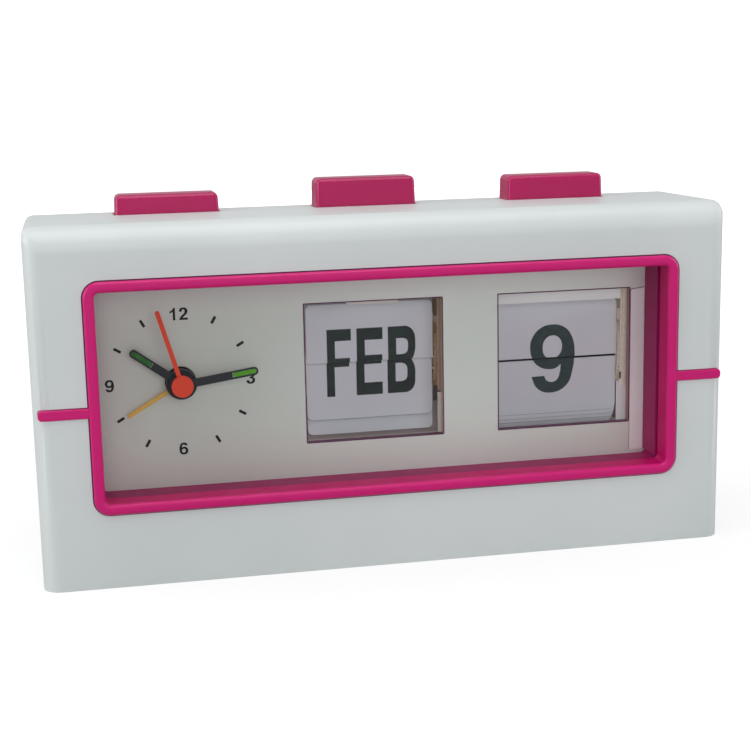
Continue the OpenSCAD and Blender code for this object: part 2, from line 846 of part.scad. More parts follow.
module movement_case() {
    corner = [movement_w / 2 - 4, movement_h / 2 - 4];
    color("black")
        difference() {
            union() {
                movement_block(dial_back, movement_split);
                pin_y(dial_x, dial_z, [dial_depth - 0.4, dial_back + eps], bush_r);
            }
            battery_trough();
            pin_y(dial_x, dial_z, [dial_depth - 1, pipe_end[0] + fit_gap], alarm_pipe_r + run_gap);
            pin_y(dial_x, dial_z, [dial_depth - 1, pipe_end[1] + fit_gap], hour_pipe_r + run_gap);
            pin_y(dial_x, dial_z, [dial_depth - 1, pipe_end[2] + fit_gap], minute_pipe_r + run_gap);
            pin_y(dial_x, dial_z, [dial_depth - 1, movement_split + 1], arbor_r + run_gap);
            translate([button_x[0], front_y + dial_back + movement_d / 2, dial_z + movement_h / 2 - 5])
                cylinder(r = 1.3 + run_gap, h = 6);
            for (x = [-1, 1])
                pin_y(dial_x + x * corner[0], dial_z + corner[1], [dial_back - 1, movement_split + 1],
                    screw_r + fit_gap);
        }
}

module movement_cover() {
    corner = [movement_w / 2 - 4, movement_h / 2 - 4];
    color("dimgray")
        difference() {
            movement_block(movement_split, movement_back);
            battery_trough();
            pin_y(dial_x, dial_z, [movement_split - 1, pipe_end[3] + fit_gap], arbor_r + run_gap);
            for (x = knob_x)
                pin_y(x, knob_z, [movement_split + 0.6, movement_back + 1], shaft_r + run_gap);
            for (x = [-1, 1])
                pin_y(dial_x + x * corner[0], dial_z + corner[1], [movement_split - 1, movement_back + 1],
                    screw_r + fit_gap);
        }
}

module movement_screws() {
    color("silver")
        for (x = [-1, 1])
            screw_y(dial_x + x * (movement_w / 2 - 4), dial_z + movement_h / 2 - 4, movement_back,
                movement_d + 0.5, screw_r, screw_head_r, screw_head_t);
}

module buzzer() {
    color("goldenrod") {
        pin_y(dial_x, buzzer_z, [movement_back, movement_back + 2.6], buzzer_r);
        difference() {
            pin_y(dial_x, buzzer_z, [movement_back + 2.6 - eps, movement_back + 3.4], buzzer_r - 1);
            pin_y(dial_x, buzzer_z, [movement_back + 3, movement_back + 4], 1.2);
        }
    }
}

// A hand's outline points to twelve, then it is turned to its clock angle
module place_hand(angle, depth) {
    translate([dial_x, 0, dial_z])
        rotate([0, angle, 0])
            layer(depth, hand_t)
                children();
}

module hand_boss(depth, r, bore) {
    difference() {
        pin_y(dial_x, dial_z, [depth - 0.3, depth - 0.3 + boss_t], r);
        pin_y(dial_x, dial_z, [depth - 1, depth + 2], bore);
    }
}

// Straight hand with a round tip
module strip(length, width, start) {
    translate([-width / 2, start])
        square([width, length - width / 2 - start]);
    translate([0, length - width / 2])
        circle(width / 2);
}

// Hand with a slot for its luminous strip
module baton(length) {
    difference() {
        strip(length, baton_w, 0);
        strip(length - baton_rim, baton_w - 2 * baton_rim, length - baton_rim - lume_l);
    }
}

module hour_hand() {
    color("black") {
        difference() {
            place_hand(hour_angle, hour_depth)
                baton(hour_l);
            pin_y(dial_x, dial_z, [hour_depth - 1, hour_depth + 2], hour_pipe_r + 0.5);
        }
        hand_boss(hour_depth, hour_pipe_r + 1.9, hour_pipe_r + 0.02);
    }
}

module hour_pipe() {
    color("goldenrod")
        difference() {
            pin_y(dial_x, dial_z, [hour_depth - 0.3, pipe_end[1]], hour_pipe_r);
            pin_y(dial_x, dial_z, [hour_depth - 1, pipe_end[1] + 1], minute_pipe_r + run_gap);
        }
}

module minute_hand() {
    color("black") {
        difference() {
            place_hand(minute_angle, minute_depth)
                baton(minute_l);
            pin_y(dial_x, dial_z, [minute_depth - 1, minute_depth + 2], minute_pipe_r + 0.5);
        }
        hand_boss(minute_depth, minute_pipe_r + 2, minute_pipe_r + 0.02);
    }
}

module minute_pipe() {
    color("goldenrod")
        difference() {
            pin_y(dial_x, dial_z, [minute_depth - 0.3, pipe_end[2]], minute_pipe_r);
            pin_y(dial_x, dial_z, [minute_depth - 1, pipe_end[2] + 1], arbor_r + run_gap);
        }
}

module second_hand() {
    color("red") {
        difference() {
            union() {
                place_hand(second_angle, second_depth)
                    strip(second_l, second_w, 0);
                pin_y(dial_x, dial_z, [second_depth - 0.5, second_depth - 0.3 + boss_t], cap_r);
            }
            pin_y(dial_x, dial_z, [second_depth + 0.1, second_depth + 2], arbor_r + 0.02);
        }
    }
}

module second_arbor() {
    color("silver")
        pin_y(dial_x, dial_z, [second_depth + 0.15, pipe_end[3]], arbor_r);
}

module alarm_hand() {
    color("orange") {
        difference() {
            place_hand(alarm_angle, alarm_depth)
                strip(alarm_l, alarm_w, 0);
            pin_y(dial_x, dial_z, [alarm_depth - 1, alarm_depth + 2], alarm_pipe_r + 0.3);
        }
        hand_boss(alarm_depth, alarm_pipe_r + 0.6, alarm_pipe_r + 0.02);
    }
}

module alarm_pipe() {
    color("goldenrod")
        difference() {
            pin_y(dial_x, dial_z, [alarm_depth - 0.3, pipe_end[0]], alarm_pipe_r);
            pin_y(dial_x, dial_z, [alarm_depth - 1, pipe_end[0] + 1], hour_pipe_r + run_gap);
        }
}

// Fluted setting knob in its well
module set_knob(x) {
    flutes = 12;
    top = case_d - 0.4;
    bottom = well_floor + 0.4;
    color("white")
        difference() {
            layer(bottom, top - bottom)
                translate([x, knob_z])
                    difference() {
                        circle(knob_r);
                        for (i = [0:flutes - 1])
                            rotate(360 * i / flutes)
                                translate([knob_r + 0.5, 0])
                                    circle(1);
                    }
            pin_y(x, knob_z, [bottom - 1, top - 1], shaft_r + 0.02);
            pin_y(x, knob_z, [top - 0.5, top + 1], knob_r - 2);
        }
}

module set_shaft(x) {
    color("silver")
        pin_y(x, knob_z, [movement_split + 0.8, case_d - 1.5], shaft_r);
}

module time_set_knob() {
    set_knob(knob_x[0]);
}

module time_set_shaft() {
    set_shaft(knob_x[0]);
}

module alarm_set_knob() {
    set_knob(knob_x[1]);
}

module alarm_set_shaft() {
    set_shaft(knob_x[1]);
}

// The plus end with its nub lies to the left
cell_x = movement_left + trough_wall + contact_t + nub_l;

module battery_cell() {
    color("darkgreen") {
        pin_x([cell_x, cell_x + cell_l], cell_depth, cell_z, cell_r);
        pin_x([cell_x - nub_l, cell_x + eps], cell_depth, cell_z, 2.6);
    }
}

module battery_plus_contact() {
    color("silver")
        span([movement_left + trough_wall, movement_left + trough_wall + contact_t],
            [cell_depth - cell_r / 2, cell_depth + cell_r - 1], [cell_z - cell_r / 2, cell_z + cell_r / 2]);
}

module battery_minus_contact() {
    wire = 0.6;
    right = movement_left + movement_w - trough_wall;
    color("silver") {
        span([right - contact_t, right], [cell_depth - cell_r / 2, cell_depth + cell_r - 1],
            [cell_z - cell_r / 2, cell_z + cell_r / 2]);
        translate([right - contact_t / 2, front_y + cell_depth, cell_z])
            rotate([0, -90, 0])
                coil(cell_r / 2 - wire, cell_r / 4, wire, right - contact_t / 2 - cell_x - cell_l - run_gap, 3);
    }
}

// Frame of a card unit: two cheeks, an upper and a lower bridge with screw flanges, and the rod's guide
module unit_frame(x, z) {
    rod_front = axle_depth - rod_u - rod_t;
    slot = [rod_x - clear_gap, rod_x + rod_w + clear_gap];
    cheek = [flange_depth, frame_back];
    color("gainsboro")
        difference() {
            union() {
                for (side = [[left_cheek - frame_t, left_cheek], [right_cheek, right_cheek + frame_t]])
                    difference() {
                        span([x + side[0], x + side[1]], cheek, [z - frame_half - frame_t, z + frame_half + frame_t]);
                        for (up = [-1, 1])
                            pin_x([x + side[0] - 1, x + side[1] + 1], axle_depth, z + up * frame_half * 0.6, 4.5);
                    }
                for (up = [-1, 1])
                    translate([0, 0, z])
                        mirror([0, 0, up == 1 ? 0 : 1]) {
                            span([x + left_cheek - frame_t, x + slot[0]],
                                [flange_depth, flange_depth + frame_t], [frame_half, frame_half + frame_flange]);
                            span([x + left_cheek - frame_t, x + slot[0]],
                                [flange_depth, bridge_back], [frame_half, frame_half + frame_t]);
                            span([x + left_cheek, x + right_cheek + eps],
                                [rod_front + rod_t + 2 * clear_gap, bridge_back], [frame_half, frame_half + frame_t]);
                        }
                span([x + guide_x, x + right_cheek + frame_t],
                    [dial_back + fit_gap, axle_depth - rod_u + clear_gap + 1.2],
                    [z + frame_half, z + frame_half + 3]);
            }
            span([x + slot[0], x + slot[1]], [rod_front - clear_gap, rod_front + rod_t + clear_gap],
                [z + frame_half - 1, z + frame_half + 4]);
            pin_x([x + left_cheek - frame_t - 1, x + right_cheek + frame_t + 1], axle_depth, z, axle_r + 0.02);
            for (i = [-1, 1], up = [-1, 1])
                pin_y(x + i * boss_x, z + up * boss_lift, [flange_depth - 1, flange_depth + frame_t + 1],
                    screw_r + fit_gap);
        }
}

module month_frame() {
    unit_frame(month_x, month_z);
}

module date_frame() {
    unit_frame(date_x, date_z);
}

module unit_axle(x, z) {
    color("silver")
        pin_x([x + left_cheek - frame_t, x + right_cheek + frame_t], axle_depth, z, axle_r);
}

module month_axle() {
    unit_axle(month_x, month_z);
}

module date_axle() {
    unit_axle(date_x, date_z);
}

// Ring track for the leaf pins in the inner face of a disc
module pin_track(x, z) {
    difference() {
        pin_x(x, axle_depth, z, leaf_r + flap_lead + 0.5);
        pin_x([x[0] - 1, x[1] + 1], axle_depth, z, leaf_r - 0.5);
    }
}

// Hub with the plain disc at its left end
module unit_spool(x, z) {
    color("ivory")
        difference() {
            union() {
                pin_x([x - wheel_x - disc_t, x + wheel_x + wheel_t], axle_depth, z, hub_r);
                pin_x([x - wheel_x - disc_t, x - wheel_x], axle_depth, z, ratchet_r - month_tooth);
            }
            pin_track([x - wheel_x - track_depth, x - wheel_x + 1], z);
            pin_x([x - wheel_x - disc_t - 1, x + wheel_x + wheel_t + 1], axle_depth, z, axle_r + run_gap);
        }
}

module month_spool() {
    unit_spool(month_x, month_z);
}

module date_spool() {
    unit_spool(date_x, date_z);
}

// Saw teeth whose steep faces look up at the front, where the pawl pushes down
function saw(count, r, depth) = [for (k = [0:count - 1])
    let (a = 360 * (k + 0.5) / count)
    each [r * [cos(a), sin(a)], (r - depth) * [cos(a), sin(a)]]];

module unit_ratchet(x, z, count, tooth) {
    color("ivory")
        difference() {
            across([x + wheel_x, x + wheel_x + wheel_t], axle_depth, z)
                polygon(saw(count, ratchet_r, tooth));
            pin_track([x + wheel_x - 1, x + wheel_x + track_depth], z);
            pin_x([x + wheel_x - 1, x + wheel_x + wheel_t + 1], axle_depth, z, hub_r + 0.02);
        }
}

module month_ratchet() {
    unit_ratchet(month_x, month_z, month_count, month_tooth);
}

module date_ratchet() {
    unit_ratchet(date_x, date_z, date_count, date_tooth);
}

// One leaf with its two flat ears, standing up or hanging down from them
module leaf(x, z, depth, root, tip, up) {
    layer(depth - leaf_t / 2, leaf_t)
        translate([x, z]) {
            mirror([0, up ? 0 : 1])
                translate([0, -root])
                    arch_rect(leaf_w, root + tip, leaf_corner);
            square([2 * pin_reach, 2 * pin_r], center = true);
        }
}

// Pack of leaves on the pin circle, without the front one
module leaf_pack(x, z, count, split) {
    first = leaf_r * sin(360 / count);
    color("whitesmoke")
        for (k = [1:count - 1])
            let (a = 360 * k / count)
                leaf(x, z + leaf_r * sin(a), axle_depth - leaf_r * cos(a), first - split, leaf_len - first, a < 179);
}

module month_leaves() {
    leaf_pack(month_x, month_z, month_count, month_split);
}

module date_leaves() {
    leaf_pack(date_x, date_z, date_count, date_split);
}

// Front leaf, which turns on its pins at the split line
module flap(x, z) {
    depth = axle_depth - leaf_r - flap_lead;
    color("whitesmoke") {
        layer(depth - leaf_t / 2, leaf_t)
            translate([x, z])
                arch_rect(leaf_w, leaf_len, leaf_corner);
        for (side = [[-pin_reach, -leaf_w / 2], [leaf_w / 2, pin_reach]])
            pin_x([x + side[0], x + side[1]], depth, z, pin_r);
    }
}

module month_flap() {
    flap(month_x, month_z);
}

module date_flap() {
    flap(date_x, date_z);
}

// Tab on the front of the upper flange that reaches down to just above the front leaf
module card_stop(x, z, w, shift) {
    stop_t = 0.7;
    bottom = leaf_len + 0.4;
    shoulder = boss_lift - boss_r - clear_gap;
    neck = min(month_stop_w, 2 * (boss_x - boss_r - clear_gap));
    color("white")
        layer(flange_depth - stop_t, stop_t)
            translate([x, z]) {
                translate([shift, shoulder])
                    mirror([0, 1])
                        arch_rect(w, shoulder - bottom, 0.8);
                translate([-neck / 2, shoulder - eps])
                    square([neck, frame_half + frame_flange - shoulder]);
            }
}

module month_card_stop() {
    card_stop(month_x, month_z, month_stop_w, 0);
}

module date_card_stop() {
    card_stop(date_x, date_z, date_stop_w, guide_x - clear_gap - date_stop_w / 2);
}

module unit_screws() {
    color("silver")
        for (unit = [[month_x, month_z], [date_x, date_z]], i = [-1, 1], up = [-1, 1])
            screw_y(unit[0] + i * boss_x, unit[1] + up * boss_lift, flange_depth + frame_t, 3, screw_r,
                screw_head_r, screw_head_t);
}

front_case();
rear_cover();
battery_door();
case_screws();
bezel();
lens();
dial_plate();
dial_screws();
alarm_button();
month_button();
date_button();
button_plate();
button_plate_screws();
alarm_button_spring();
month_button_spring();
date_button_spring();
alarm_push_rod();
month_push_rod();
date_push_rod();
movement_case();
movement_cover();
movement_screws();
buzzer();
hour_hand();
hour_pipe();
minute_hand();
minute_pipe();
second_hand();
second_arbor();
alarm_hand();
alarm_pipe();
time_set_knob();
time_set_shaft();
alarm_set_knob();
alarm_set_shaft();
battery_cell();
battery_plus_contact();
battery_minus_contact();
month_frame();
month_axle();
month_spool();
month_ratchet();
month_leaves();
month_flap();
month_card_stop();
date_frame();
date_axle();
date_spool();
date_ratchet();
date_leaves();
date_flap();
date_card_stop();
unit_screws();
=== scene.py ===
import math

import bpy
from mathutils import Matrix, Vector


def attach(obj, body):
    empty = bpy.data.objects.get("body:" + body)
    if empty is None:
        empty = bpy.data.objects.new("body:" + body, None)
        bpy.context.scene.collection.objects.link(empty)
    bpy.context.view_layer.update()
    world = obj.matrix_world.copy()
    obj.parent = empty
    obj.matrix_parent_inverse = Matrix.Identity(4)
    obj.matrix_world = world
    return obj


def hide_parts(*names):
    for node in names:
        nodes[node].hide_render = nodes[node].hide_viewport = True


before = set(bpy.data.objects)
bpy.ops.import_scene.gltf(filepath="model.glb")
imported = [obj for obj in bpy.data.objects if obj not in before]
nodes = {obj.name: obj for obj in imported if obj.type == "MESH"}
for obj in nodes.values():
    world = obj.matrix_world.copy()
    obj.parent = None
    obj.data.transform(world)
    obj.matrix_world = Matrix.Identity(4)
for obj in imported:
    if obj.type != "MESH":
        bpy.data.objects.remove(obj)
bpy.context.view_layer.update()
mm = 0.001
frontY, backY = -22.0, 22.0  # the clock's front and rear faces, in mm, as in the frame
weldGap, copyGap, sliverGap = 0.000001, 0.000002, 0.000006  # m
slack = 0.01  # mm, how near a point counts as on a plane
inkDepth = 0.08
print("frame loaded:", len(nodes), "nodes")


def tone(red, green, blue):
    channels = []
    for value in (red, green, blue):
        share = value / 255.0
        channels.append(share / 12.92 if share <= 0.04045 else ((share + 0.055) / 1.055) ** 2.4)
    return (*channels, 1.0)


# camera, floor and light

photoView = {
    "lens": 71.72,
    "place": (-0.07742, -0.3817, 0.12422),
    "turn": 11.411,  # degrees towards +x
    "down": 11.443,
    "roll": 1.2156,
}


def addPhotoCamera(view):
    bpy.ops.object.select_all(action="DESELECT")
    bpy.ops.object.camera_add(location=view["place"])
    camera = bpy.context.object
    camera.name = "photoCamera"
    turn, down = math.radians(view["turn"]), math.radians(view["down"])
    look = Vector((math.sin(turn) * math.cos(down), math.cos(turn) * math.cos(down), -math.sin(down)))
    facing = look.to_track_quat("-Z", "Y").to_matrix() @ Matrix.Rotation(-math.radians(view["roll"]), 3, "Z")
    camera.rotation_euler = facing.to_euler()
    camera.data.lens = view["lens"]
    camera.data.sensor_width = 36.0
    bpy.context.scene.camera = camera


studio = {
    "worldLevel": 0.24, "mirrorLevel": 0.45,
    "panels": {  # power, size, place, whether glossy surfaces mirror it
        "overheadPanel": (4.9, 0.9, (-0.05, -0.16, 1.05), True),
        "frontPanel": (4.7, 0.9, (0.08, -1.15, 0.22), False),
        "leftPanel": (5.5, 0.8, (-1.05, -0.08, 0.36), True),
        "rightPanel": (3.2, 0.8, (1.05, -0.10, 0.36), True),
        "rearPanel": (3.6, 0.9, (0.10, 1.15, 0.35), False),
    },
    "aim": (0, 0, 0.05),
    "floorSize": 5.0, "floorTone": 0.45,
    "floorReach": (0.10, 0.55), "floorLift": (0.62, 0.95),  # its lift to white, near the clock and far from it
}


def addLamp(name, power, size, place, mirrored, target):
    bpy.ops.object.select_all(action="DESELECT")
    bpy.ops.object.light_add(type="AREA", location=place)
    lamp = bpy.context.object
    lamp.name = name
    lamp.data.energy = power
    lamp.data.size = size
    lamp.visible_glossy = mirrored
    aim = Vector(target) - Vector(place)
    lamp.rotation_euler = aim.to_track_quat("-Z", "Y").to_euler()


def seenDirectly(tree):
    # one where the camera sees a surface, straight or through the lens
    path = tree.nodes.new("ShaderNodeLightPath")
    either = tree.nodes.new("ShaderNodeMath")
    either.operation = "MAXIMUM"
    tree.links.new(path.outputs["Is Camera Ray"], either.inputs[0])
    tree.links.new(path.outputs["Is Transmission Ray"], either.inputs[1])
    return either.outputs[0]


def addRoom(setup):
    scene = bpy.context.scene
    scene.view_settings.view_transform = "Standard"
    world = bpy.data.worlds.new("softRoom")
    scene.world = world
    world.use_nodes = True
    tree = world.node_tree
    back = tree.nodes["Background"]
    back.inputs["Color"].default_value = (1.0, 1.0, 1.0, 1.0)
    # soft grey room for the light it gives, a paler one in reflections, white where the camera sees it
    mirrored = tree.nodes.new("ShaderNodeMapRange")
    mirrored.inputs["To Min"].default_value = setup["worldLevel"]
    mirrored.inputs["To Max"].default_value = setup["mirrorLevel"]
    tree.links.new(tree.nodes.new("ShaderNodeLightPath").outputs["Is Glossy Ray"], mirrored.inputs["Value"])
    level = tree.nodes.new("ShaderNodeMapRange")
    level.inputs["To Max"].default_value = 1.0
    tree.links.new(mirrored.outputs["Result"], level.inputs["To Min"])
    tree.links.new(seenDirectly(tree), level.inputs["Value"])
    tree.links.new(level.outputs["Result"], back.inputs["Strength"])


def addFloor(setup):
    bpy.ops.object.select_all(action="DESELECT")
    bpy.ops.mesh.primitive_plane_add(size=setup["floorSize"], location=(0, 0, 0))
    floor = bpy.context.object
    floor.name = "paleFloor"
    sheet = bpy.data.materials.new("paleSheet")
    sheet.use_nodes = True
    tree = sheet.node_tree
    shader = tree.nodes["Principled BSDF"]
    shader.inputs["Base Color"].default_value = (setup["floorTone"],) * 3 + (1.0,)
    shader.inputs["Roughness"].default_value = 0.9
    shader.inputs["Specular IOR Level"].default_value = 0.1
    # the sheet is lifted to white, less so close to the clock, where its shadow lies
    coord = tree.nodes.new("ShaderNodeTexCoord")
    reach = tree.nodes.new("ShaderNodeVectorMath")
    reach.operation = "LENGTH"
    tree.links.new(coord.outputs["Object"], reach.inputs[0])
    lift = tree.nodes.new("ShaderNodeMapRange")
    lift.interpolation_type = "SMOOTHSTEP"
    lift.inputs["From Min"].default_value, lift.inputs["From Max"].default_value = setup["floorReach"]
    lift.inputs["To Min"].default_value, lift.inputs["To Max"].default_value = setup["floorLift"]
    tree.links.new(reach.outputs["Value"], lift.inputs["Value"])
    shown = tree.nodes.new("ShaderNodeMath")
    shown.operation = "MULTIPLY"
    tree.links.new(lift.outputs["Result"], shown.inputs[0])
    tree.links.new(seenDirectly(tree), shown.inputs[1])
    glow = tree.nodes.new("ShaderNodeEmission")
    tree.links.new(shown.outputs[0], glow.inputs["Strength"])
    both = tree.nodes.new("ShaderNodeAddShader")
    tree.links.new(shader.outputs["BSDF"], both.inputs[0])
    tree.links.new(glow.outputs["Emission"], both.inputs[1])
    tree.links.new(both.outputs["Shader"], tree.nodes["Material Output"].inputs["Surface"])
    floor.data.materials.append(sheet)


addPhotoCamera(photoView)
addRoom(studio)
addFloor(studio)
for name, panel in studio["panels"].items():
    addLamp(name, *panel, studio["aim"])
print("camera and studio set")


# finishes

def newFinish(name):
    finish = bpy.data.materials.new(name)
    finish.use_nodes = True
    tree = finish.node_tree
    coord = tree.nodes.new("ShaderNodeTexCoord")
    return finish, tree, tree.nodes["Principled BSDF"], coord.outputs["Object"]


def cloudNode(tree, source, scale, detail, stretch=(1, 1, 1)):
    place = tree.nodes.new("ShaderNodeMapping")
    place.inputs["Scale"].default_value = stretch
    tree.links.new(source, place.inputs["Vector"])
    cloud = tree.nodes.new("ShaderNodeTexNoise")
    cloud.inputs["Scale"].default_value = scale
    cloud.inputs["Detail"].default_value = detail
    tree.links.new(place.outputs["Vector"], cloud.inputs["Vector"])
    return cloud.outputs["Fac"]


def shadeBand(tree, fac, dark, light, low=0.35, high=0.65):
    band = tree.nodes.new("ShaderNodeValToRGB")
    band.color_ramp.elements[0].position = low
    band.color_ramp.elements[0].color = dark
    band.color_ramp.elements[1].position = high
    band.color_ramp.elements[1].color = light
    tree.links.new(fac, band.inputs["Fac"])
    return band.outputs["Color"]


def spread(tree, fac, low, high):
    band = tree.nodes.new("ShaderNodeMapRange")
    band.inputs["From Min"].default_value = 0.3
    band.inputs["From Max"].default_value = 0.7
    band.inputs["To Min"].default_value = low
    band.inputs["To Max"].default_value = high
    tree.links.new(fac, band.inputs["Value"])
    return band.outputs["Result"]


def addBump(tree, shader, height, depth, strength=0.6):
    bump = tree.nodes.new("ShaderNodeBump")
    bump.inputs["Strength"].default_value = strength
    bump.inputs["Distance"].default_value = depth
    tree.links.new(height, bump.inputs["Height"])
    tree.links.new(bump.outputs["Normal"], shader.inputs["Normal"])


def mouldedFinish(name, dark, light, rough, grain, grainDepth, gloss=0.5, through=None):
    finish, tree, shader, where = newFinish(name)
    drift = 22.0  # slow change of tone over a moulding
    colour = shadeBand(tree, cloudNode(tree, where, drift, 3.0), tone(*dark), tone(*light))
    tree.links.new(colour, shader.inputs["Base Color"])
    tree.links.new(spread(tree, cloudNode(tree, where, drift * 6, 2.0), *rough), shader.inputs["Roughness"])
    shader.inputs["Specular IOR Level"].default_value = gloss
    addBump(tree, shader, cloudNode(tree, where, grain, 1.0), grainDepth)
    if through:  # painted glow: emission that lifts these mouldings out of the shade inside the case
        shader.inputs["Emission Color"].default_value = tone(*through[0])
        shader.inputs["Emission Strength"].default_value = through[1]
    return finish


mouldings = {  # darker and lighter tone, roughness, scale and depth of the grain, what else differs
    "whiteCase": ((222, 229, 229), (228, 234, 234), (0.32, 0.38), 2600, 3e-6, {}),
    "pinkTrim": ((216, 10, 118), (221, 13, 123), (0.28, 0.30), 900, 0.8e-6, {"gloss": 0.45}),
    # painted shade: a darker copy of the pink trim for the buttons, whose fronts get less light
    "pinkButtonShaded": ((180, 4, 87), (186, 6, 92), (0.24, 0.27), 900, 0.8e-6, {}),
    # painted shade: darker copies of the pink trim for the bezel's inner walls, plum behind the lens
    "plumWallShaded": ((164, 34, 100), (174, 40, 108), (0.38, 0.44), 3200, 1.5e-6, {"gloss": 0.12}),
    "pinkInnerShaded": ((194, 10, 100), (202, 14, 107), (0.40, 0.46), 3200, 1.5e-6, {"gloss": 0.10}),
    "creamMoulding": ((228, 219, 208), (237, 230, 221), (0.42, 0.50), 2600, 3e-6, {"through": ((202, 182, 166), 0.12)}),
    "paleMoulding": ((222, 219, 213), (231, 228, 222), (0.42, 0.50), 2600, 3e-6, {"through": ((214, 200, 190), 0.11)}),
    "stopPale": ((230, 234, 233), (238, 241, 240), (0.42, 0.50), 2600, 3e-6, {"through": ((224, 224, 224), 0.12)}),
    "guidePale": ((230, 224, 227), (238, 233, 236), (0.42, 0.50), 2600, 3e-6, {"through": ((222, 208, 214), 0.15)}),
    "stripPale": ((238, 237, 238), (244, 243, 244), (0.44, 0.50), 2600, 2e-6,
                  {"gloss": 0.3, "through": ((224, 226, 224), 0.05)}),
    "cardLeaf": ((224, 228, 238), (231, 235, 244), (0.40, 0.46), 2600, 2e-6, {"through": ((222, 224, 234), 0.02)}),
    # painted shade: the cream moulding toned tan-brown, as it looks in the shade beside the month card
    "tanShadedCream": ((176, 152, 126), (190, 167, 140), (0.46, 0.54), 2600, 3e-6, {"through": ((176, 146, 118), 0.03)}),
    "tanShade": ((112, 100, 88), (126, 113, 100), (0.48, 0.56), 2600, 3e-6, {}),
    # painted reflection and shade for the right side of the date window's liner
    "roseEdgeReflected": ((170, 130, 128), (180, 140, 137), (0.48, 0.56), 2600, 3e-6, {}),
    # painted shade and pink bounce: the pale moulding toned darker and mauve for the floor and plates below the cards
    "mauveFloor": ((196, 184, 190), (206, 194, 199), (0.48, 0.56), 2600, 3e-6, {}),
    "blackMoulding": ((24, 25, 28), (33, 34, 37), (0.40, 0.52), 1400, 8e-6, {}),
    "batonBlack": ((36, 42, 48), (46, 52, 58), (0.28, 0.36), 2600, 3e-6, {}),
    "secondRed": ((238, 66, 40), (246, 78, 50), (0.36, 0.44), 2600, 3e-6, {}),
    "alarmAmber": ((230, 182, 78), (240, 196, 94), (0.36, 0.44), 2600, 3e-6, {}),
    "cellSleeve": ((44, 62, 92), (52, 72, 104), (0.30, 0.38), 1800, 4e-6, {}),
}


def metalFinish(name, dark, light, rough, grain, stretch):
    finish, tree, shader, where = newFinish(name)
    streak = cloudNode(tree, where, grain, 2.0, stretch)
    tree.links.new(shadeBand(tree, streak, tone(*dark), tone(*light)), shader.inputs["Base Color"])
    tree.links.new(spread(tree, streak, *rough), shader.inputs["Roughness"])
    shader.inputs["Metallic"].default_value = 1.0
    addBump(tree, shader, streak, 6e-6, 0.5)
    return finish


metals = {  # darker and lighter tone, roughness, scale and stretch of the streaks
    "springSteel": ((170, 172, 176), (205, 207, 210), (0.22, 0.34), 900, (1, 1, 6)),
    "turnedBrass": ((196, 160, 88), (220, 186, 112), (0.24, 0.36), 900, (1, 6, 1)),
}


def inkFinish(name, dark, light):
    finish, tree, shader, where = newFinish(name)
    colour = shadeBand(tree, cloudNode(tree, where, 700, 2.0), tone(*dark), tone(*light))
    tree.links.new(colour, shader.inputs["Base Color"])
    tree.links.new(spread(tree, cloudNode(tree, where, 1500, 1.0), 0.38, 0.5), shader.inputs["Roughness"])
    return finish


inks = {  # print, paint, dark edges and painted shade lines: darker and lighter tone
    "dialInk": ((14, 15, 18), (24, 25, 28)),
    "monthInk": ((42, 54, 53), (52, 64, 63)),
    "dateInk": ((54, 71, 72), (66, 83, 84)),
    "hourGlow": ((42, 112, 40), (58, 130, 54)),
    "minuteGlow": ((84, 166, 38), (106, 186, 54)),
    "stripEdgeShade": ((146, 100, 122), (160, 112, 134)),
    "gapShade": ((24, 25, 30), (34, 35, 41)),
    "markGrey": ((112, 117, 120), (126, 131, 134)),
    # painted shadow lines along the bottoms of the leaves
    "leafEdge": ((112, 110, 118), (130, 128, 136)),
    # plum for the window liners, and painted shade at the floor of the lip's gap
    "plumEdgeAndShade": ((96, 44, 82), (112, 54, 96)),
}

silverLook = {
    "middle": (0.028, -0.0065, 0.052), "reach": 0.09,  # painted light: a pool of light, paler between the two windows
    "pale": (241, 252, 245), "plain": (221, 229, 222),
    "rim": (0.062, 0.0745), "rimPaintedGlow": 0.06, "rimTone": (250, 228, 240),  # painted glow: emission that lifts the upper rim out of the bezel's shade
    "brush": (420, (0.06, 1, 2.2)), "brushDepth": 5e-6, "rough": (0.40, 0.50), "metal": 0.2,
}


def silverDialFinish(look):
    finish, tree, shader, where = newFinish("silverDial")
    scale, stretch = look["brush"]
    brush = cloudNode(tree, where, scale, 3.0, stretch)  # fine horizontal brushing
    middle = tree.nodes.new("ShaderNodeVectorMath")
    middle.operation = "DISTANCE"
    middle.inputs[1].default_value = look["middle"]
    tree.links.new(where, middle.inputs[0])
    away = tree.nodes.new("ShaderNodeMapRange")
    away.interpolation_type = "SMOOTHSTEP"
    away.inputs["From Max"].default_value = look["reach"]
    tree.links.new(middle.outputs["Value"], away.inputs["Value"])
    colour = shadeBand(tree, away.outputs["Result"], tone(*look["pale"]), tone(*look["plain"]), 0.1, 0.95)
    tree.links.new(colour, shader.inputs["Base Color"])
    tree.links.new(spread(tree, brush, *look["rough"]), shader.inputs["Roughness"])
    height = tree.nodes.new("ShaderNodeSeparateXYZ")
    tree.links.new(where, height.inputs["Vector"])
    rim = tree.nodes.new("ShaderNodeMapRange")
    rim.interpolation_type = "SMOOTHSTEP"
    rim.inputs["From Min"].default_value, rim.inputs["From Max"].default_value = look["rim"]
    rim.inputs["To Max"].default_value = look["rimPaintedGlow"]
    tree.links.new(height.outputs["Z"], rim.inputs["Value"])
    tree.links.new(rim.outputs["Result"], shader.inputs["Emission Strength"])
    shader.inputs["Emission Color"].default_value = tone(*look["rimTone"])
    shader.inputs["Metallic"].default_value = look["metal"]
    addBump(tree, shader, brush, look["brushDepth"], 0.5)
    return finish


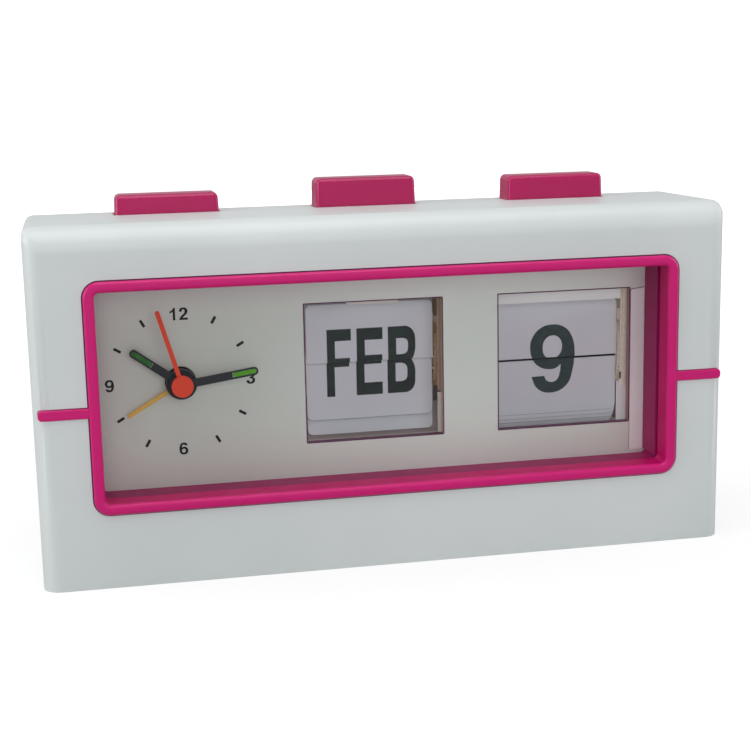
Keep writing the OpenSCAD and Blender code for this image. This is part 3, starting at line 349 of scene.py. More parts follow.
def clearLensFinish():
    finish, tree, shader, where = newFinish("clearLens")
    shader.inputs["Base Color"].default_value = (0.02, 0.02, 0.02, 1.0)
    tree.links.new(spread(tree, cloudNode(tree, where, 40, 1.0), 0.03, 0.06), shader.inputs["Roughness"])
    shader.inputs["Alpha"].default_value = 0.04
    return finish


finishes = {"silverDial": silverDialFinish(silverLook), "clearLens": clearLensFinish()}
for name, look in mouldings.items():
    finishes[name] = mouldedFinish(name, *look[:-1], **look[-1])
for name, look in metals.items():
    finishes[name] = metalFinish(name, *look)
for name, look in inks.items():
    finishes[name] = inkFinish(name, *look)

slotFinish = {
    "case_white": "whiteCase", "pink_plastic": "pinkTrim", "clear_lens": "clearLens", "dial_silver": "silverDial",
    "steel": "springSteel", "cream_plastic": "creamMoulding", "pale_plastic": "paleMoulding",
    "leaf_plastic": "cardLeaf", "black_plastic": "blackMoulding", "brass": "turnedBrass",
    "hand_black": "batonBlack", "hand_red": "secondRed", "hand_orange": "alarmAmber", "cell_wrap": "cellSleeve",
}

shadedNodes = {  # toned as they look in the shade of the case
    "month_push_rod": "tanShadedCream", "month_ratchet": "tanShadedCream", "date_card_stop": "stopPale",
}


def dressNodes():
    for name, node in nodes.items():
        slot = node.data.materials[0].name.split(".")[0]
        node.data.materials.clear()
        node.data.materials.append(finishes[shadedNodes.get(name, slotFinish[slot])])


dressNodes()
print("finishes made and put on the nodes")


# hand work on meshes

def takeUp(piece):
    if bpy.context.mode != "OBJECT":
        bpy.ops.object.mode_set(mode="OBJECT")
    bpy.ops.object.select_all(action="DESELECT")
    piece.select_set(True)
    bpy.context.view_layer.objects.active = piece


def block(name, low, high):
    bpy.ops.object.select_all(action="DESELECT")
    middle = [(a + b) / 2 * mm for a, b in zip(low, high)]
    bpy.ops.mesh.primitive_cube_add(size=1, location=middle)
    piece = bpy.context.object
    piece.name = name
    piece.scale = [(b - a) * mm for a, b in zip(low, high)]
    bpy.ops.object.transform_apply(location=True, rotation=True, scale=True)
    return piece


def pick(piece, kind, test):
    takeUp(piece)
    bpy.ops.object.mode_set(mode="EDIT")
    bpy.ops.mesh.select_mode(type=kind)
    bpy.ops.mesh.select_all(action="DESELECT")
    bpy.ops.object.mode_set(mode="OBJECT")
    mesh = piece.data
    if kind == "FACE":
        for face in mesh.polygons:
            face.select = bool(test(face.center / mm, face.normal))
    elif kind == "EDGE":
        for edge in mesh.edges:
            a, b = (mesh.vertices[i].co / mm for i in edge.vertices)
            edge.select = bool(test(a, b))
    else:
        for vertex in mesh.vertices:
            vertex.select = bool(test(vertex.co / mm))
    bpy.ops.object.mode_set(mode="EDIT")


def done():
    bpy.ops.object.mode_set(mode="OBJECT")


def roundEdges(piece, test, size, steps):
    pick(piece, "EDGE", test)
    bpy.ops.mesh.bevel(offset=size * mm, segments=steps, profile=0.5, affect="EDGES")
    done()


def carve(piece, tool, how="DIFFERENCE"):
    takeUp(piece)
    change = piece.modifiers.new("carve", "BOOLEAN")
    change.operation = how
    change.solver = "EXACT"
    change.object = tool
    bpy.ops.object.modifier_apply(modifier=change.name)
    bpy.data.objects.remove(tool)


def softenEdges(piece, size, steps=2, angle=35):
    takeUp(piece)
    change = piece.modifiers.new("soften", "BEVEL")
    change.width = size * mm
    change.segments = steps
    change.limit_method = "ANGLE"
    change.angle_limit = math.radians(angle)
    change.use_clamp_overlap = True
    bpy.ops.object.modifier_apply(modifier=change.name)


def turnRound(piece, x, z, degrees):
    # clockwise as seen from the front, about a line through x, z
    middle = Matrix.Translation(Vector((x, 0, z)) * mm)
    piece.data.transform(middle @ Matrix.Rotation(math.radians(degrees), 4, "Y") @ middle.inverted())


def joinPieces(name, pieces):
    takeUp(pieces[0])
    for piece in pieces[1:]:
        piece.select_set(True)
    if len(pieces) > 1:
        bpy.ops.object.join()
    pieces[0].name = name
    return pieces[0]


def finishPiece(piece, finish, body, standsFor=(), smooth=35):
    takeUp(piece)
    bpy.ops.object.mode_set(mode="EDIT")
    bpy.ops.mesh.select_all(action="SELECT")
    bpy.ops.mesh.remove_doubles(threshold=weldGap)
    bpy.ops.mesh.dissolve_degenerate(threshold=weldGap)
    bpy.ops.mesh.normals_make_consistent(inside=False)
    done()
    if smooth:
        bpy.ops.object.shade_smooth_by_angle(angle=math.radians(smooth))
        even = piece.modifiers.new("even", "WEIGHTED_NORMAL")  # large flat faces stay flat beside rounded edges
        even.keep_sharp = True
        bpy.ops.object.modifier_apply(modifier=even.name)
    piece.data.materials.clear()
    piece.data.materials.append(finishes[finish])
    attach(piece, body)
    if standsFor:
        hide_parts(*standsFor)


def sweepFrame(name, section, halfWidth, halfHeight, middle, radius, steps):
    # section: points (outward, depth) from the opening's edge, carried round its four sides
    bpy.ops.object.select_all(action="DESELECT")
    bpy.ops.mesh.primitive_circle_add(vertices=len(section), radius=mm, fill_type="NOTHING")
    piece = bpy.context.object
    piece.name = name
    cx, cz = middle
    runX, runZ = halfWidth - radius, halfHeight - radius
    for vertex, (out, depth) in zip(piece.data.vertices, section):
        vertex.co = Vector((cx - runX, frontY + depth, cz - halfHeight - out)) * mm
    bpy.ops.object.mode_set(mode="EDIT")
    bpy.ops.mesh.select_mode(type="EDGE")
    bpy.ops.mesh.select_all(action="SELECT")
    sides = [((2 * runX, 0, 0), (runX, -runZ)), ((0, 0, 2 * runZ), (runX, runZ)),
             ((-2 * runX, 0, 0), (-runX, runZ)), ((0, 0, -2 * runZ), (-runX, -runZ))]
    for move, corner in sides:
        bpy.ops.mesh.extrude_edges_move(TRANSFORM_OT_translate={"value": [v * mm for v in move]})
        bpy.ops.mesh.spin(steps=steps, angle=math.pi / 2, axis=(0, 1, 0),
                          center=((cx + corner[0]) * mm, 0, (cz + corner[1]) * mm))
    bpy.ops.mesh.select_all(action="SELECT")
    bpy.ops.mesh.remove_doubles(threshold=0.00001)
    bpy.ops.mesh.normals_make_consistent(inside=False)
    done()
    return piece


# printed characters, each drawn as outlines in a cell one wide and one high; s is a smooth point, c a corner
characters = {
    "F": [[(0, 0, "c"), (.33, 0, "c"), (.33, .435, "c"), (.94, .435, "c"), (.94, .575, "c"), (.33, .575, "c"),
           (.33, .83, "c"), (1, .83, "c"), (1, 1, "c"), (0, 1, "c")]],
    "E": [[(0, 0, "c"), (1, 0, "c"), (1, .18, "c"), (.31, .18, "c"), (.31, .455, "c"), (.97, .455, "c"),
           (.97, .6, "c"), (.31, .6, "c"), (.31, .825, "c"), (.99, .825, "c"), (.99, 1, "c"), (0, 1, "c")]],
    "B": [[(0, 0, "c"), (.56, 0, "c"), (.72, .005, "s"), (.93, .07, "s"), (1, .25, "s"), (.985, .38, "s"),
           (.86, .505, "c"), (.95, .6, "s"), (.98, .74, "s"), (.91, .92, "s"), (.68, .998, "s"), (.54, 1, "c"),
           (0, 1, "c")],
          [(.29, .17, "c"), (.52, .17, "c"), (.66, .195, "s"), (.715, .3, "s"), (.67, .41, "s"), (.52, .445, "c"),
           (.29, .445, "c")],
          [(.29, .585, "c"), (.52, .585, "c"), (.66, .61, "s"), (.715, .7, "s"), (.67, .8, "s"), (.52, .825, "c"),
           (.29, .825, "c")]],
    "M": [[(0, 0, "c"), (.2, 0, "c"), (.2, .66, "c"), (.4, 0, "c"), (.6, 0, "c"), (.8, .66, "c"), (.8, 0, "c"),
           (1, 0, "c"), (1, 1, "c"), (.73, 1, "c"), (.5, .28, "c"), (.27, 1, "c"), (0, 1, "c")]],
    "A": [[(0, 0, "c"), (.27, 0, "c"), (.345, .24, "c"), (.655, .24, "c"), (.73, 0, "c"), (1, 0, "c"),
           (.64, 1, "c"), (.36, 1, "c")],
          [(.39, .39, "c"), (.61, .39, "c"), (.5, .78, "c")]],
    "R": [[(0, 0, "c"), (.29, 0, "c"), (.29, .4, "c"), (.45, .4, "c"), (.64, .22, "s"), (.71, 0, "c"), (1, 0, "c"),
           (.93, .24, "s"), (.76, .44, "c"), (.92, .54, "s"), (.97, .72, "s"), (.9, .92, "s"), (.68, .998, "s"),
           (.54, 1, "c"), (0, 1, "c")],
          [(.29, .56, "c"), (.52, .56, "c"), (.66, .6, "s"), (.7, .7, "s"), (.66, .8, "s"), (.52, .835, "c"),
           (.29, .835, "c")]],
    "0": [[(.5, -.01, "s"), (.87, .14, "s"), (1, .5, "s"), (.87, .86, "s"), (.5, 1.01, "s"), (.13, .86, "s"),
           (0, .5, "s"), (.13, .14, "s")],
          [(.5, .145, "s"), (.655, .26, "s"), (.69, .5, "s"), (.655, .74, "s"), (.5, .855, "s"), (.345, .74, "s"),
           (.31, .5, "s"), (.345, .26, "s")]],
    "1": [[(.58, 0, "c"), (1, 0, "c"), (1, 1, "c"), (.68, 1, "c"), (.56, .88, "s"), (.3, .77, "s"), (0, .73, "c"),
           (0, .58, "c"), (.3, .62, "s"), (.58, .7, "c")]],
    "2": [[(0, 0, "c"), (1, 0, "c"), (1, .165, "c"), (.43, .165, "c"), (.6, .3, "s"), (.93, .54, "s"),
           (.985, .72, "s"), (.86, .93, "s"), (.51, 1.005, "s"), (.16, .92, "s"), (.03, .69, "c"), (.32, .66, "c"),
           (.38, .8, "s"), (.51, .85, "s"), (.64, .8, "s"), (.68, .7, "s"), (.6, .55, "s"), (.2, .26, "s")]],
    "3": [[(0, .29, "c"), (.1, .09, "s"), (.49, -.01, "s"), (.88, .1, "s"), (1, .3, "s"), (.93, .45, "s"),
           (.76, .525, "c"), (.9, .61, "s"), (.95, .74, "s"), (.83, .93, "s"), (.48, 1.01, "s"), (.15, .93, "s"),
           (.03, .73, "c"), (.32, .7, "c"), (.39, .81, "s"), (.49, .855, "s"), (.62, .81, "s"), (.66, .72, "s"),
           (.59, .62, "s"), (.38, .59, "c"), (.38, .455, "c"), (.6, .43, "s"), (.7, .3, "s"), (.63, .18, "s"),
           (.49, .14, "s"), (.37, .185, "s"), (.31, .31, "c")]],
    "9": [[(.042, .246, "c"), (.18, .068, "s"), (.483, 0, "s"), (.83, .1, "s"), (.965, .32, "s"), (1, .55, "s"),
           (.93, .82, "s"), (.76, .955, "s"), (.495, 1, "s"), (.22, .95, "s"), (.05, .82, "s"), (0, .68, "s"),
           (.065, .5, "s"), (.23, .385, "s"), (.45, .345, "s"), (.59, .36, "s"), (.7, .415, "c"), (.68, .29, "s"),
           (.61, .185, "s"), (.5, .155, "s"), (.38, .185, "s"), (.327, .25, "c")],
          [(.47, .505, "s"), (.64, .55, "s"), (.715, .67, "s"), (.65, .8, "s"), (.497, .842, "s"), (.34, .79, "s"),
           (.28, .66, "s"), (.335, .545, "s")]],
}
characters["6"] = [[(1 - u, 1 - v, kind) for u, v, kind in outline] for outline in characters["9"]]


def printCharacter(name, sign, x, z, width, height, front):
    # flat outlines, filled and given a thickness, then made a mesh
    ink = bpy.data.curves.new(name, "CURVE")
    ink.dimensions = "2D"
    ink.fill_mode = "BOTH"
    ink.resolution_u = 5
    ink.extrude = inkDepth / 2 * mm
    for outline in characters[sign]:
        line = ink.splines.new("BEZIER")
        line.bezier_points.add(len(outline) - 1)
        line.use_cyclic_u = True
        for point, (u, v, kind) in zip(line.bezier_points, outline):
            point.co = ((x + u * width) * mm, (z + v * height) * mm, 0)
            point.handle_left_type = point.handle_right_type = "AUTO" if kind == "s" else "VECTOR"
    piece = bpy.data.objects.new(name, ink)
    bpy.context.scene.collection.objects.link(piece)
    piece.location.y = (front + inkDepth / 2) * mm
    piece.rotation_euler.x = math.pi / 2
    takeUp(piece)
    bpy.ops.object.convert(target="MESH")
    bpy.ops.object.transform_apply(location=True, rotation=True, scale=True)
    return bpy.context.object


def keepPart(piece, z, upper):
    takeUp(piece)
    bpy.ops.object.mode_set(mode="EDIT")
    bpy.ops.mesh.select_all(action="SELECT")
    bpy.ops.mesh.remove_doubles(threshold=weldGap)
    bpy.ops.mesh.bisect(plane_co=(0, 0, z * mm), plane_no=(0, 0, 1), use_fill=True,
                        clear_inner=upper, clear_outer=not upper)
    done()
    return piece


# dial print: four numbers and eight ticks round the hands
dialPrint = {
    "centre": (-52.2, 48.05), "radius": 17.9, "numberRise": 17.5, "front": -6.56,
    "numberHigh": 3.15, "numberWide": 2.25, "tick": (2.05, 0.7), "tickRound": 0.06,
    "twelve": (-2.0, 1.4, 0.3),  # left edge and width of its 1, left edge of its 2
}


def printDial(look):
    cx, cz = look["centre"]
    high, wide = look["numberHigh"], look["numberWide"]
    r, rise = look["radius"], look["numberRise"]
    oneLeft, oneWide, twoLeft = look["twelve"]
    numbers = [("twelveOne", "1", oneLeft, rise, oneWide), ("twelveTwo", "2", twoLeft, rise, wide),
               ("three", "3", r - wide / 2, 0, wide), ("six", "6", -wide / 2, -rise, wide),
               ("nine", "9", -r - wide / 2, 0, wide)]
    marks = []
    for name, sign, left, up, width in numbers:
        marks.append(printCharacter(name, sign, cx + left, cz + up - high / 2, width, high, look["front"]))
    length, width = look["tick"]
    for hour in (1, 2, 4, 5, 7, 8, 10, 11):
        tick = block("tick", (cx - width / 2, look["front"], cz + r - length / 2),
                     (cx + width / 2, look["front"] + inkDepth, cz + r + length / 2))
        pick(tick, "EDGE", lambda a, b: abs(a.y - b.y) > 0.05)
        bpy.ops.mesh.bevel(offset=look["tickRound"] * mm, segments=2, affect="EDGES")
        done()
        turnRound(tick, cx, cz, 30 * hour)
        marks.append(tick)
    finishPiece(joinPieces("dialMarks", marks), "dialInk", "case", smooth=0)


printDial(dialPrint)
print("dial printed")


# card print: today's card on the standing flap and the lower leaf, the next one behind and on the flap's back
cardPrint = {
    "month": {
        "now": [("F", -13.0, 6.5), ("E", -5.0, 7.1), ("B", 3.5, 7.6)],
        "next": [("M", -13.6, 8.6), ("A", -4.2, 8.2), ("R", 4.6, 7.4)],
        "low": 39.75, "high": 18.3, "split": 49.15, "lowerTop": 48.85, "flap": 0.84, "leaf": 2.10,
        "finish": "monthInk", "body": "month_front_leaf",
    },
    "date": {
        "now": [("9", 42.9, 12.7)],
        "next": [("1", 39.6, 6.2), ("0", 48.6, 12.2)],
        "low": 37.2, "high": 19.0, "split": 47.15, "lowerTop": 46.47, "flap": 0.84, "leaf": 1.37,
        "finish": "dateInk", "body": "date_front_leaf",
    },
}


def printHalf(name, signs, card, front, upper):
    line = card["split"] if upper else card["lowerTop"]
    halves = []
    for sign, x, width in signs:
        piece = printCharacter(name + sign, sign, x, card["low"], width, card["high"], front)
        halves.append(keepPart(piece, line, upper))
    return joinPieces(name, halves)


def printCards(kind, card):
    finishPiece(printHalf(kind + "NowUpper", card["now"], card, card["flap"], True),
                card["finish"], card["body"], smooth=0)
    finishPiece(printHalf(kind + "NowLower", card["now"], card, card["leaf"], False),
                card["finish"], "case", smooth=0)
    behind = dict(card, split=2 * card["split"] - card["lowerTop"])
    finishPiece(printHalf(kind + "NextUpper", card["next"], behind, card["leaf"], True),
                card["finish"], "case", smooth=0)
    # the flap's back is printed as it will read once the flap has fallen, then turned up with it
    fallen = printHalf(kind + "NextLower", card["next"], dict(card, lowerTop=card["split"]), card["flap"], False)
    pick(fallen, "VERT", lambda v: True)
    bpy.ops.transform.rotate(value=math.pi, orient_axis="X", center_override=(0, 1.0 * mm, card["split"] * mm))
    done()
    finishPiece(fallen, card["finish"], card["body"], smooth=0)


for kind, card in cardPrint.items():
    printCards(kind, card)
print("cards printed")

# case, rear cover, battery door, dial and knobs: the frame's own shapes with their sharp edges broken
softShells = {
    "front_case": ("caseShell", 0.28, 3, "whiteCase", "case", "case_white"),
    "rear_cover": ("rearShell", 0.22, 2, "whiteCase", "case", "case_white"),
    "battery_door": ("cellDoor", 0.18, 2, "whiteCase", "case", "case_white"),
    "dial_plate": ("dialSheet", 0.08, 2, "silverDial", "case", "dial_silver"),
    "time_set_knob": ("timeKnob", 0.16, 2, "whiteCase", "time_setter", "case_white"),
    "alarm_set_knob": ("alarmKnob", 0.16, 2, "whiteCase", "alarm_setter", "case_white"),
}


def softCopy(node, name, size, steps):
    piece = nodes[node].copy()
    piece.data = nodes[node].data.copy()
    piece.name = name
    piece.parent = None
    for key in list(piece.keys()):
        del piece[key]
    bpy.context.scene.collection.objects.link(piece)
    takeUp(piece)
    bpy.ops.object.mode_set(mode="EDIT")
    bpy.ops.mesh.select_all(action="SELECT")
    bpy.ops.mesh.remove_doubles(threshold=copyGap)
    bpy.ops.mesh.dissolve_limited(angle_limit=math.radians(0.5))
    done()
    softenEdges(piece, size, steps, 40)
    return piece


def mergeSlivers(shell):
    pick(shell, "FACE", lambda centre, normal: True)
    bpy.ops.mesh.remove_doubles(threshold=sliverGap)
    bpy.ops.mesh.dissolve_degenerate(threshold=sliverGap)
    done()


cornerLook = {
    "half": 89.12, "front": -22.02, "back": 22.02, "top": 90.02, "fall": 0.5,
    "brow": 6.5, "upright": 4.5, "side": 2.4, "rear": 2.4,  # roundings
}


def blendCorners(shell, look):
    # trims the outside to flowing curves where the brow, the sides and the rear edges meet
    half, front, top, back = look["half"], look["front"], look["top"], look["back"]
    envelope = block("envelope", (-half, front, -4.0), (half, back, top))
    pick(envelope, "VERT", lambda v: v.y > back - slack and v.z > top - slack)
    bpy.ops.transform.translate(value=(0, 0, -look["fall"] * mm))
    done()
    high = top - look["fall"] - slack
    kinds = [(look["brow"], lambda a, b: a.y < front + slack and b.y < front + slack and a.z > high and b.z > high),
             (look["upright"], lambda a, b: a.y < front + slack and b.y < front + slack and abs(a.z - b.z) > 1),
             (look["side"], lambda a, b: a.z > high and b.z > high and abs(a.y - b.y) > 1),
             (look["rear"], lambda a, b: a.y > back - slack and b.y > back - slack and (a.z > high or b.z > high))]
    for size, test in kinds:
        pick(envelope, "EDGE", test)
        bpy.ops.transform.edge_bevelweight(value=size / look["brow"])
        done()
    takeUp(envelope)
    change = envelope.modifiers.new("corners", "BEVEL")
    change.width = look["brow"] * mm
    change.segments = 16
    change.limit_method = "WEIGHT"
    bpy.ops.object.modifier_apply(modifier=change.name)
    carve(shell, envelope, "INTERSECT")


turnMarks = {
    "knobs": [(-42.2, 55.05), (-62.2, 55.05)], "radius": 10.1, "width": 0.6, "from": 222, "to": 312,
    "deep": 0.25, "sunk": 0.1, "head": 1.2,
}


def turnArrow(name, x, z, near, far, look):
    bpy.ops.object.select_all(action="DESELECT")
    bpy.ops.mesh.primitive_circle_add(vertices=4, radius=mm, fill_type="NGON")
    arrow = bpy.context.object
    arrow.name = name
    start, end = math.radians(look["from"]), math.radians(look["to"])
    for vertex, (out, depth) in zip(arrow.data.vertices, [(-0.5, near), (-0.5, far), (0.5, far), (0.5, near)]):
        reach = look["radius"] + out * look["width"]
        vertex.co = Vector((x + reach * math.cos(start), depth, z + reach * math.sin(start))) * mm
    bpy.ops.object.mode_set(mode="EDIT")
    bpy.ops.mesh.select_all(action="SELECT")
    bpy.ops.mesh.spin(steps=20, angle=end - start, axis=(0, 1, 0), center=(x * mm, 0, z * mm))
    bpy.ops.mesh.select_all(action="SELECT")
    bpy.ops.mesh.normals_make_consistent(inside=False)
    done()
    bpy.ops.object.select_all(action="DESELECT")
    bpy.ops.mesh.primitive_cylinder_add(vertices=3, radius=look["head"] * mm, depth=(far - near) * mm)
    head = bpy.context.object
    # the point of the head looks along the arc
    head.data.transform(Matrix.Translation(Vector((x + look["radius"] * math.cos(end), (near + far) / 2,
                                                   z + look["radius"] * math.sin(end))) * mm)
                        @ Matrix.Rotation(-end, 4, "Y") @ Matrix.Rotation(math.pi / 2, 4, "X"))
    carve(arrow, head, "UNION")
    return arrow


def markTurns(cover, look):
    # a curved arrow below each setting knob, sunk into the cover and inked
    marks = []
    for x, z in look["knobs"]:
        floor = backY - look["deep"]
        carve(cover, turnArrow("arrowRecess", x, z, floor, backY + 0.5, look))
        marks.append(turnArrow("turnArrow", x, z, floor - 0.05, backY - look["sunk"], look))
    finishPiece(joinPieces("turnArrows", marks), "markGrey", "case", smooth=0)


# bezel: one section carried round the view, bright lip in front; its inner wall is painted shade, a darker pink in
# front of the lens and a deep plum behind it
bezelLook = {
    "half": (72.9, 26.2), "middle": (0.0, 47.75), "corner": 1.25,
    "lip": 2.75, "proud": 1.0, "round": 1.0, "shadowGap": 0.14,
    "sleeve": 1.9, "lensDepth": 5.5, "seat": 0.9, "depth": 15.5,
    "rib": (72.6, 73.85, 6.76, 15.44, 21.7, 73.8),  # lens rib at the right: x, depth and z
}

seamLook = {
    "inner": 2.5, "outer": 3.06, "deep": 0.55, "floor": (2.45, 3.04, 0.3, 0.5),
    "barTop": (46.0, 46.26), "barRun": (75.0, 86.8),
}


def cutSeams(shell, look):
    # the narrow gap round the bezel's lip and above the two bars
    lip = [(look["inner"], -0.6), (look["inner"], look["deep"]), (look["outer"], look["deep"]), (look["outer"], -0.6)]
    carve(shell, sweepFrame("lipGap", lip, *bezelLook["half"], bezelLook["middle"], bezelLook["corner"], 8))
    low, high = look["barTop"]
    near, far = look["barRun"]
    for left, right in ((near, far), (-far, -near)):
        carve(shell, block("barGap", (left, frontY - 1, low), (right, frontY + look["deep"], high)))


for node, (name, size, steps, finish, body, slot) in softShells.items():
    piece = softCopy(node, name, size, steps)
    if node == "front_case":
        blendCorners(piece, cornerLook)
        cutSeams(piece, seamLook)
    if node == "rear_cover":
        markTurns(piece, turnMarks)
    mergeSlivers(piece)
    finishPiece(piece, finish, body, (node,), smooth=40)
print("case shells softened")


def arcPoints(cx, cy, radius, start, end, steps):
    turns = [math.radians(start + (end - start) * i / steps) for i in range(steps + 1)]
    return [(cx + radius * math.cos(t), cy + radius * math.sin(t)) for t in turns]


def makeBezel(look):
    r, lip, proud = look["round"], look["lip"], look["proud"]
    section = [(0.0, look["lensDepth"])]
    section += arcPoints(r, -proud + r, r, 180, 270, 6)
    section += arcPoints(lip - r, -proud + r, r, 270, 360, 6)
    section += [(lip, -look["shadowGap"]), (look["sleeve"], -look["shadowGap"]), (look["sleeve"], look["depth"]),
                (look["seat"], look["depth"]), (look["seat"], look["lensDepth"])]
    bezel = sweepFrame("bezelRing", section, *look["half"], look["middle"], look["corner"], 10)
    finishPiece(bezel, "pinkTrim", "case", ("bezel",), smooth=40)
    for finish in ("plumWallShaded", "pinkInnerShaded"):
        bezel.data.materials.append(finishes[finish])
    for face in bezel.data.polygons:
        depth = face.center.y / mm - frontY
        if depth > look["lensDepth"] + 0.5:
            face.material_index = 1
        elif 0.5 < depth < look["lensDepth"] - 0.5:
            face.material_index = 2
    # painted shade: a dark plum ring laid at the floor of the gap round the lip
    inner, outer, near, far = seamLook["floor"]
    section = [(inner, near), (inner, far), (outer, far), (outer, near)]
    seam = sweepFrame("lipSeamShade", section, *look["half"], look["middle"], look["corner"], 10)
    finishPiece(seam, "plumEdgeAndShade", "case", smooth=40)
    # the lens rib takes the plum painted shade of the wall behind the lens
    left, right, near, far, low, high = look["rib"]
    rib = block("lensRib", (left, frontY + near, low), (right, frontY + far, high))
    softenEdges(rib, 0.2, 3)
    finishPiece(rib, "plumWallShaded", "case", smooth=40)


makeBezel(bezelLook)

# side bars: straight from the bezel to the case sides, their ends rounded
sideBars = {
    "low": 43.5, "high": 46.0, "proud": 0.5, "sunk": 0.85, "inner": 74.9, "outer": 87.8, "half": 89.1, "edge": 4.5,
    "endRound": 0.9, "soft": 0.3,
}


def makeSideBars(look):
    front = frontY - look["proud"]
    bars = block("sideBars", (-look["outer"], front, look["low"]), (look["outer"], frontY + look["edge"], look["high"]))
    roundEdges(bars, lambda a, b: abs(a.y - b.y) > 1, look["endRound"], 6)
    deep = look["half"] - look["sunk"]
    core = block("core", (-deep, frontY + look["sunk"], 30), (deep, 40, 60))
    roundEdges(core, lambda a, b: a.y < -18 and b.y < -18 and abs(a.z - b.z) > 1, look["edge"] - look["sunk"], 10)
    carve(bars, core)
    carve(bars, block("middle", (-look["inner"], -40, 30), (look["inner"], 40, 60)))
    near, far = look["inner"] - slack, look["inner"] + slack
    roundEdges(bars, lambda a, b: a.y < front + slack and b.y < front + slack and min(abs(a.x), abs(b.x)) > near
               and not (abs(a.x) < far and abs(b.x) < far), look["soft"], 3)
    finishPiece(bars, "pinkTrim", "case", smooth=40)


makeSideBars(sideBars)
print("bezel and side bars made")

# buttons: a flange inside the case, a drafted cap above it and a stem below
buttonLook = {
    "wide": 27.0, "deep": 10.0, "y": 13.0, "flange": 1.6, "flangeZ": (85.3, 87.1),
    "draft": 0.3, "upright": 1.2, "upper": 1.3, "stem": 2.0, "stemLow": 74.25,
    "caps": {"alarm": (-52.5, 94.6), "month": (0.0, 97.1), "date": (52.5, 96.1)},
}


def makeButton(name, look):
    x, top = look["caps"][name]
    low, high = look["flangeZ"]
    halfW, halfD = look["wide"] / 2 + look["flange"], look["deep"] / 2 + look["flange"]
    cap = block(name + "Cap", (x - halfW, look["y"] - halfD, low), (x + halfW, look["y"] + halfD, high))
    pick(cap, "FACE", lambda c, n: n.z > 0.9)
    bpy.ops.mesh.inset(thickness=look["flange"] * mm, depth=0)
    bpy.ops.mesh.extrude_region_move(TRANSFORM_OT_translate={"value": (0, 0, (top - high) * mm)})
    bpy.ops.transform.resize(value=(1 - 2 * look["draft"] / look["wide"], 1 - 2 * look["draft"] / look["deep"], 1),
                             center_override=(x * mm, look["y"] * mm, top * mm))
    done()
    roundEdges(cap, lambda a, b: abs(a.z - b.z) > 3, look["upright"], 6)
    roundEdges(cap, lambda a, b: a.z > top - slack and b.z > top - slack, look["upper"], 4)
    bpy.ops.object.select_all(action="DESELECT")
    bpy.ops.mesh.primitive_cylinder_add(vertices=32, radius=look["stem"] * mm, depth=(low + 0.5 - look["stemLow"]) * mm,
                                        location=(x * mm, look["y"] * mm, (low + 0.5 + look["stemLow"]) / 2 * mm))
    carve(cap, bpy.context.object, "UNION")
    finishPiece(cap, "pinkButtonShaded", name + "_key", (name + "_button",), smooth=40)


for name in buttonLook["caps"]:
    makeButton(name, buttonLook)
print("buttons made")

# rear screws: one head with a cross recess, copied to the four corners
screwLook = {
    "head": 2.55, "headDepth": 0.8, "headRound": 0.25, "shank": 1.35, "shankTop": 0.55, "length": 9.0,
    "cross": (3.0, 0.62, 0.5),  # length, width and depth of the recess
    "places": [(-80.6, 9.0), (80.6, 9.0), (-80.6, 80.5), (80.6, 80.5)],
}


def roundBar(x, z, near, far, radius, sides=40):
    bpy.ops.object.select_all(action="DESELECT")
    bpy.ops.mesh.primitive_cylinder_add(vertices=sides, radius=radius * mm, depth=(far - near) * mm,
                                        location=(x * mm, (near + far) / 2 * mm, z * mm), rotation=(math.pi / 2, 0, 0))
    bpy.ops.object.transform_apply(location=True, rotation=True, scale=True)
    return bpy.context.object


def copyTo(piece, shift):
    twin = piece.copy()
    twin.data = piece.data.copy()
    bpy.context.scene.collection.objects.link(twin)
    twin.data.transform(Matrix.Translation(Vector(shift) * mm))
    return twin


def makeScrews(look):
    x, z = look["places"][0]
    under = backY - look["headDepth"]
    screw = roundBar(x, z, under, backY, look["head"])
    roundEdges(screw, lambda a, b: a.y > backY - slack and b.y > backY - slack, look["headRound"], 3)
    length, width, deep = look["cross"]
    for wide, high in ((length, width), (width, length)):
        carve(screw, block("slot", (x - wide / 2, backY - deep, z - high / 2), (x + wide / 2, backY + 1, z + high / 2)))
    carve(screw, roundBar(x, z, under - look["length"], backY - look["shankTop"], look["shank"], 20), "UNION")
    screws = [screw] + [copyTo(screw, (px - x, 0, pz - z)) for px, pz in look["places"][1:]]
    finishPiece(joinPieces("rearScrews", screws), "springSteel", "case", ("case_screws",))


makeScrews(screwLook)
print("rear screws made")

# window liners: the thin plum edge seen round both card windows
linerLook = {
    "half": 18.5, "wide": 0.28, "front": 15.44, "back": 17.3,
    "middles": {"month": (-1.7, 48.05), "date": (50.1, 48.05)},
    "rightSide": {"month": "tanShadedCream", "date": "roseEdgeReflected"},
}


def makeLiner(name, look):
    section = [(0.0, look["front"]), (0.0, look["back"]), (-look["wide"], look["back"]), (-look["wide"], look["front"])]
    liner = sweepFrame(name + "WindowLiner", section, look["half"], look["half"], look["middles"][name], 0.5, 3)
    finishPiece(liner, "plumEdgeAndShade", "case", smooth=30)
    liner.data.materials.append(finishes[look["rightSide"][name]])
    inner = look["middles"][name][0] + look["half"] - 2 * look["wide"]
    for face in liner.data.polygons:  # painted reflection and shade: the side seen through the window takes the colour of what it faces
        if face.center.x / mm > inner and face.normal.x < -0.5:
            face.material_index = 1


for name in linerLook["middles"]:
    makeLiner(name, linerLook)
print("window liners set")

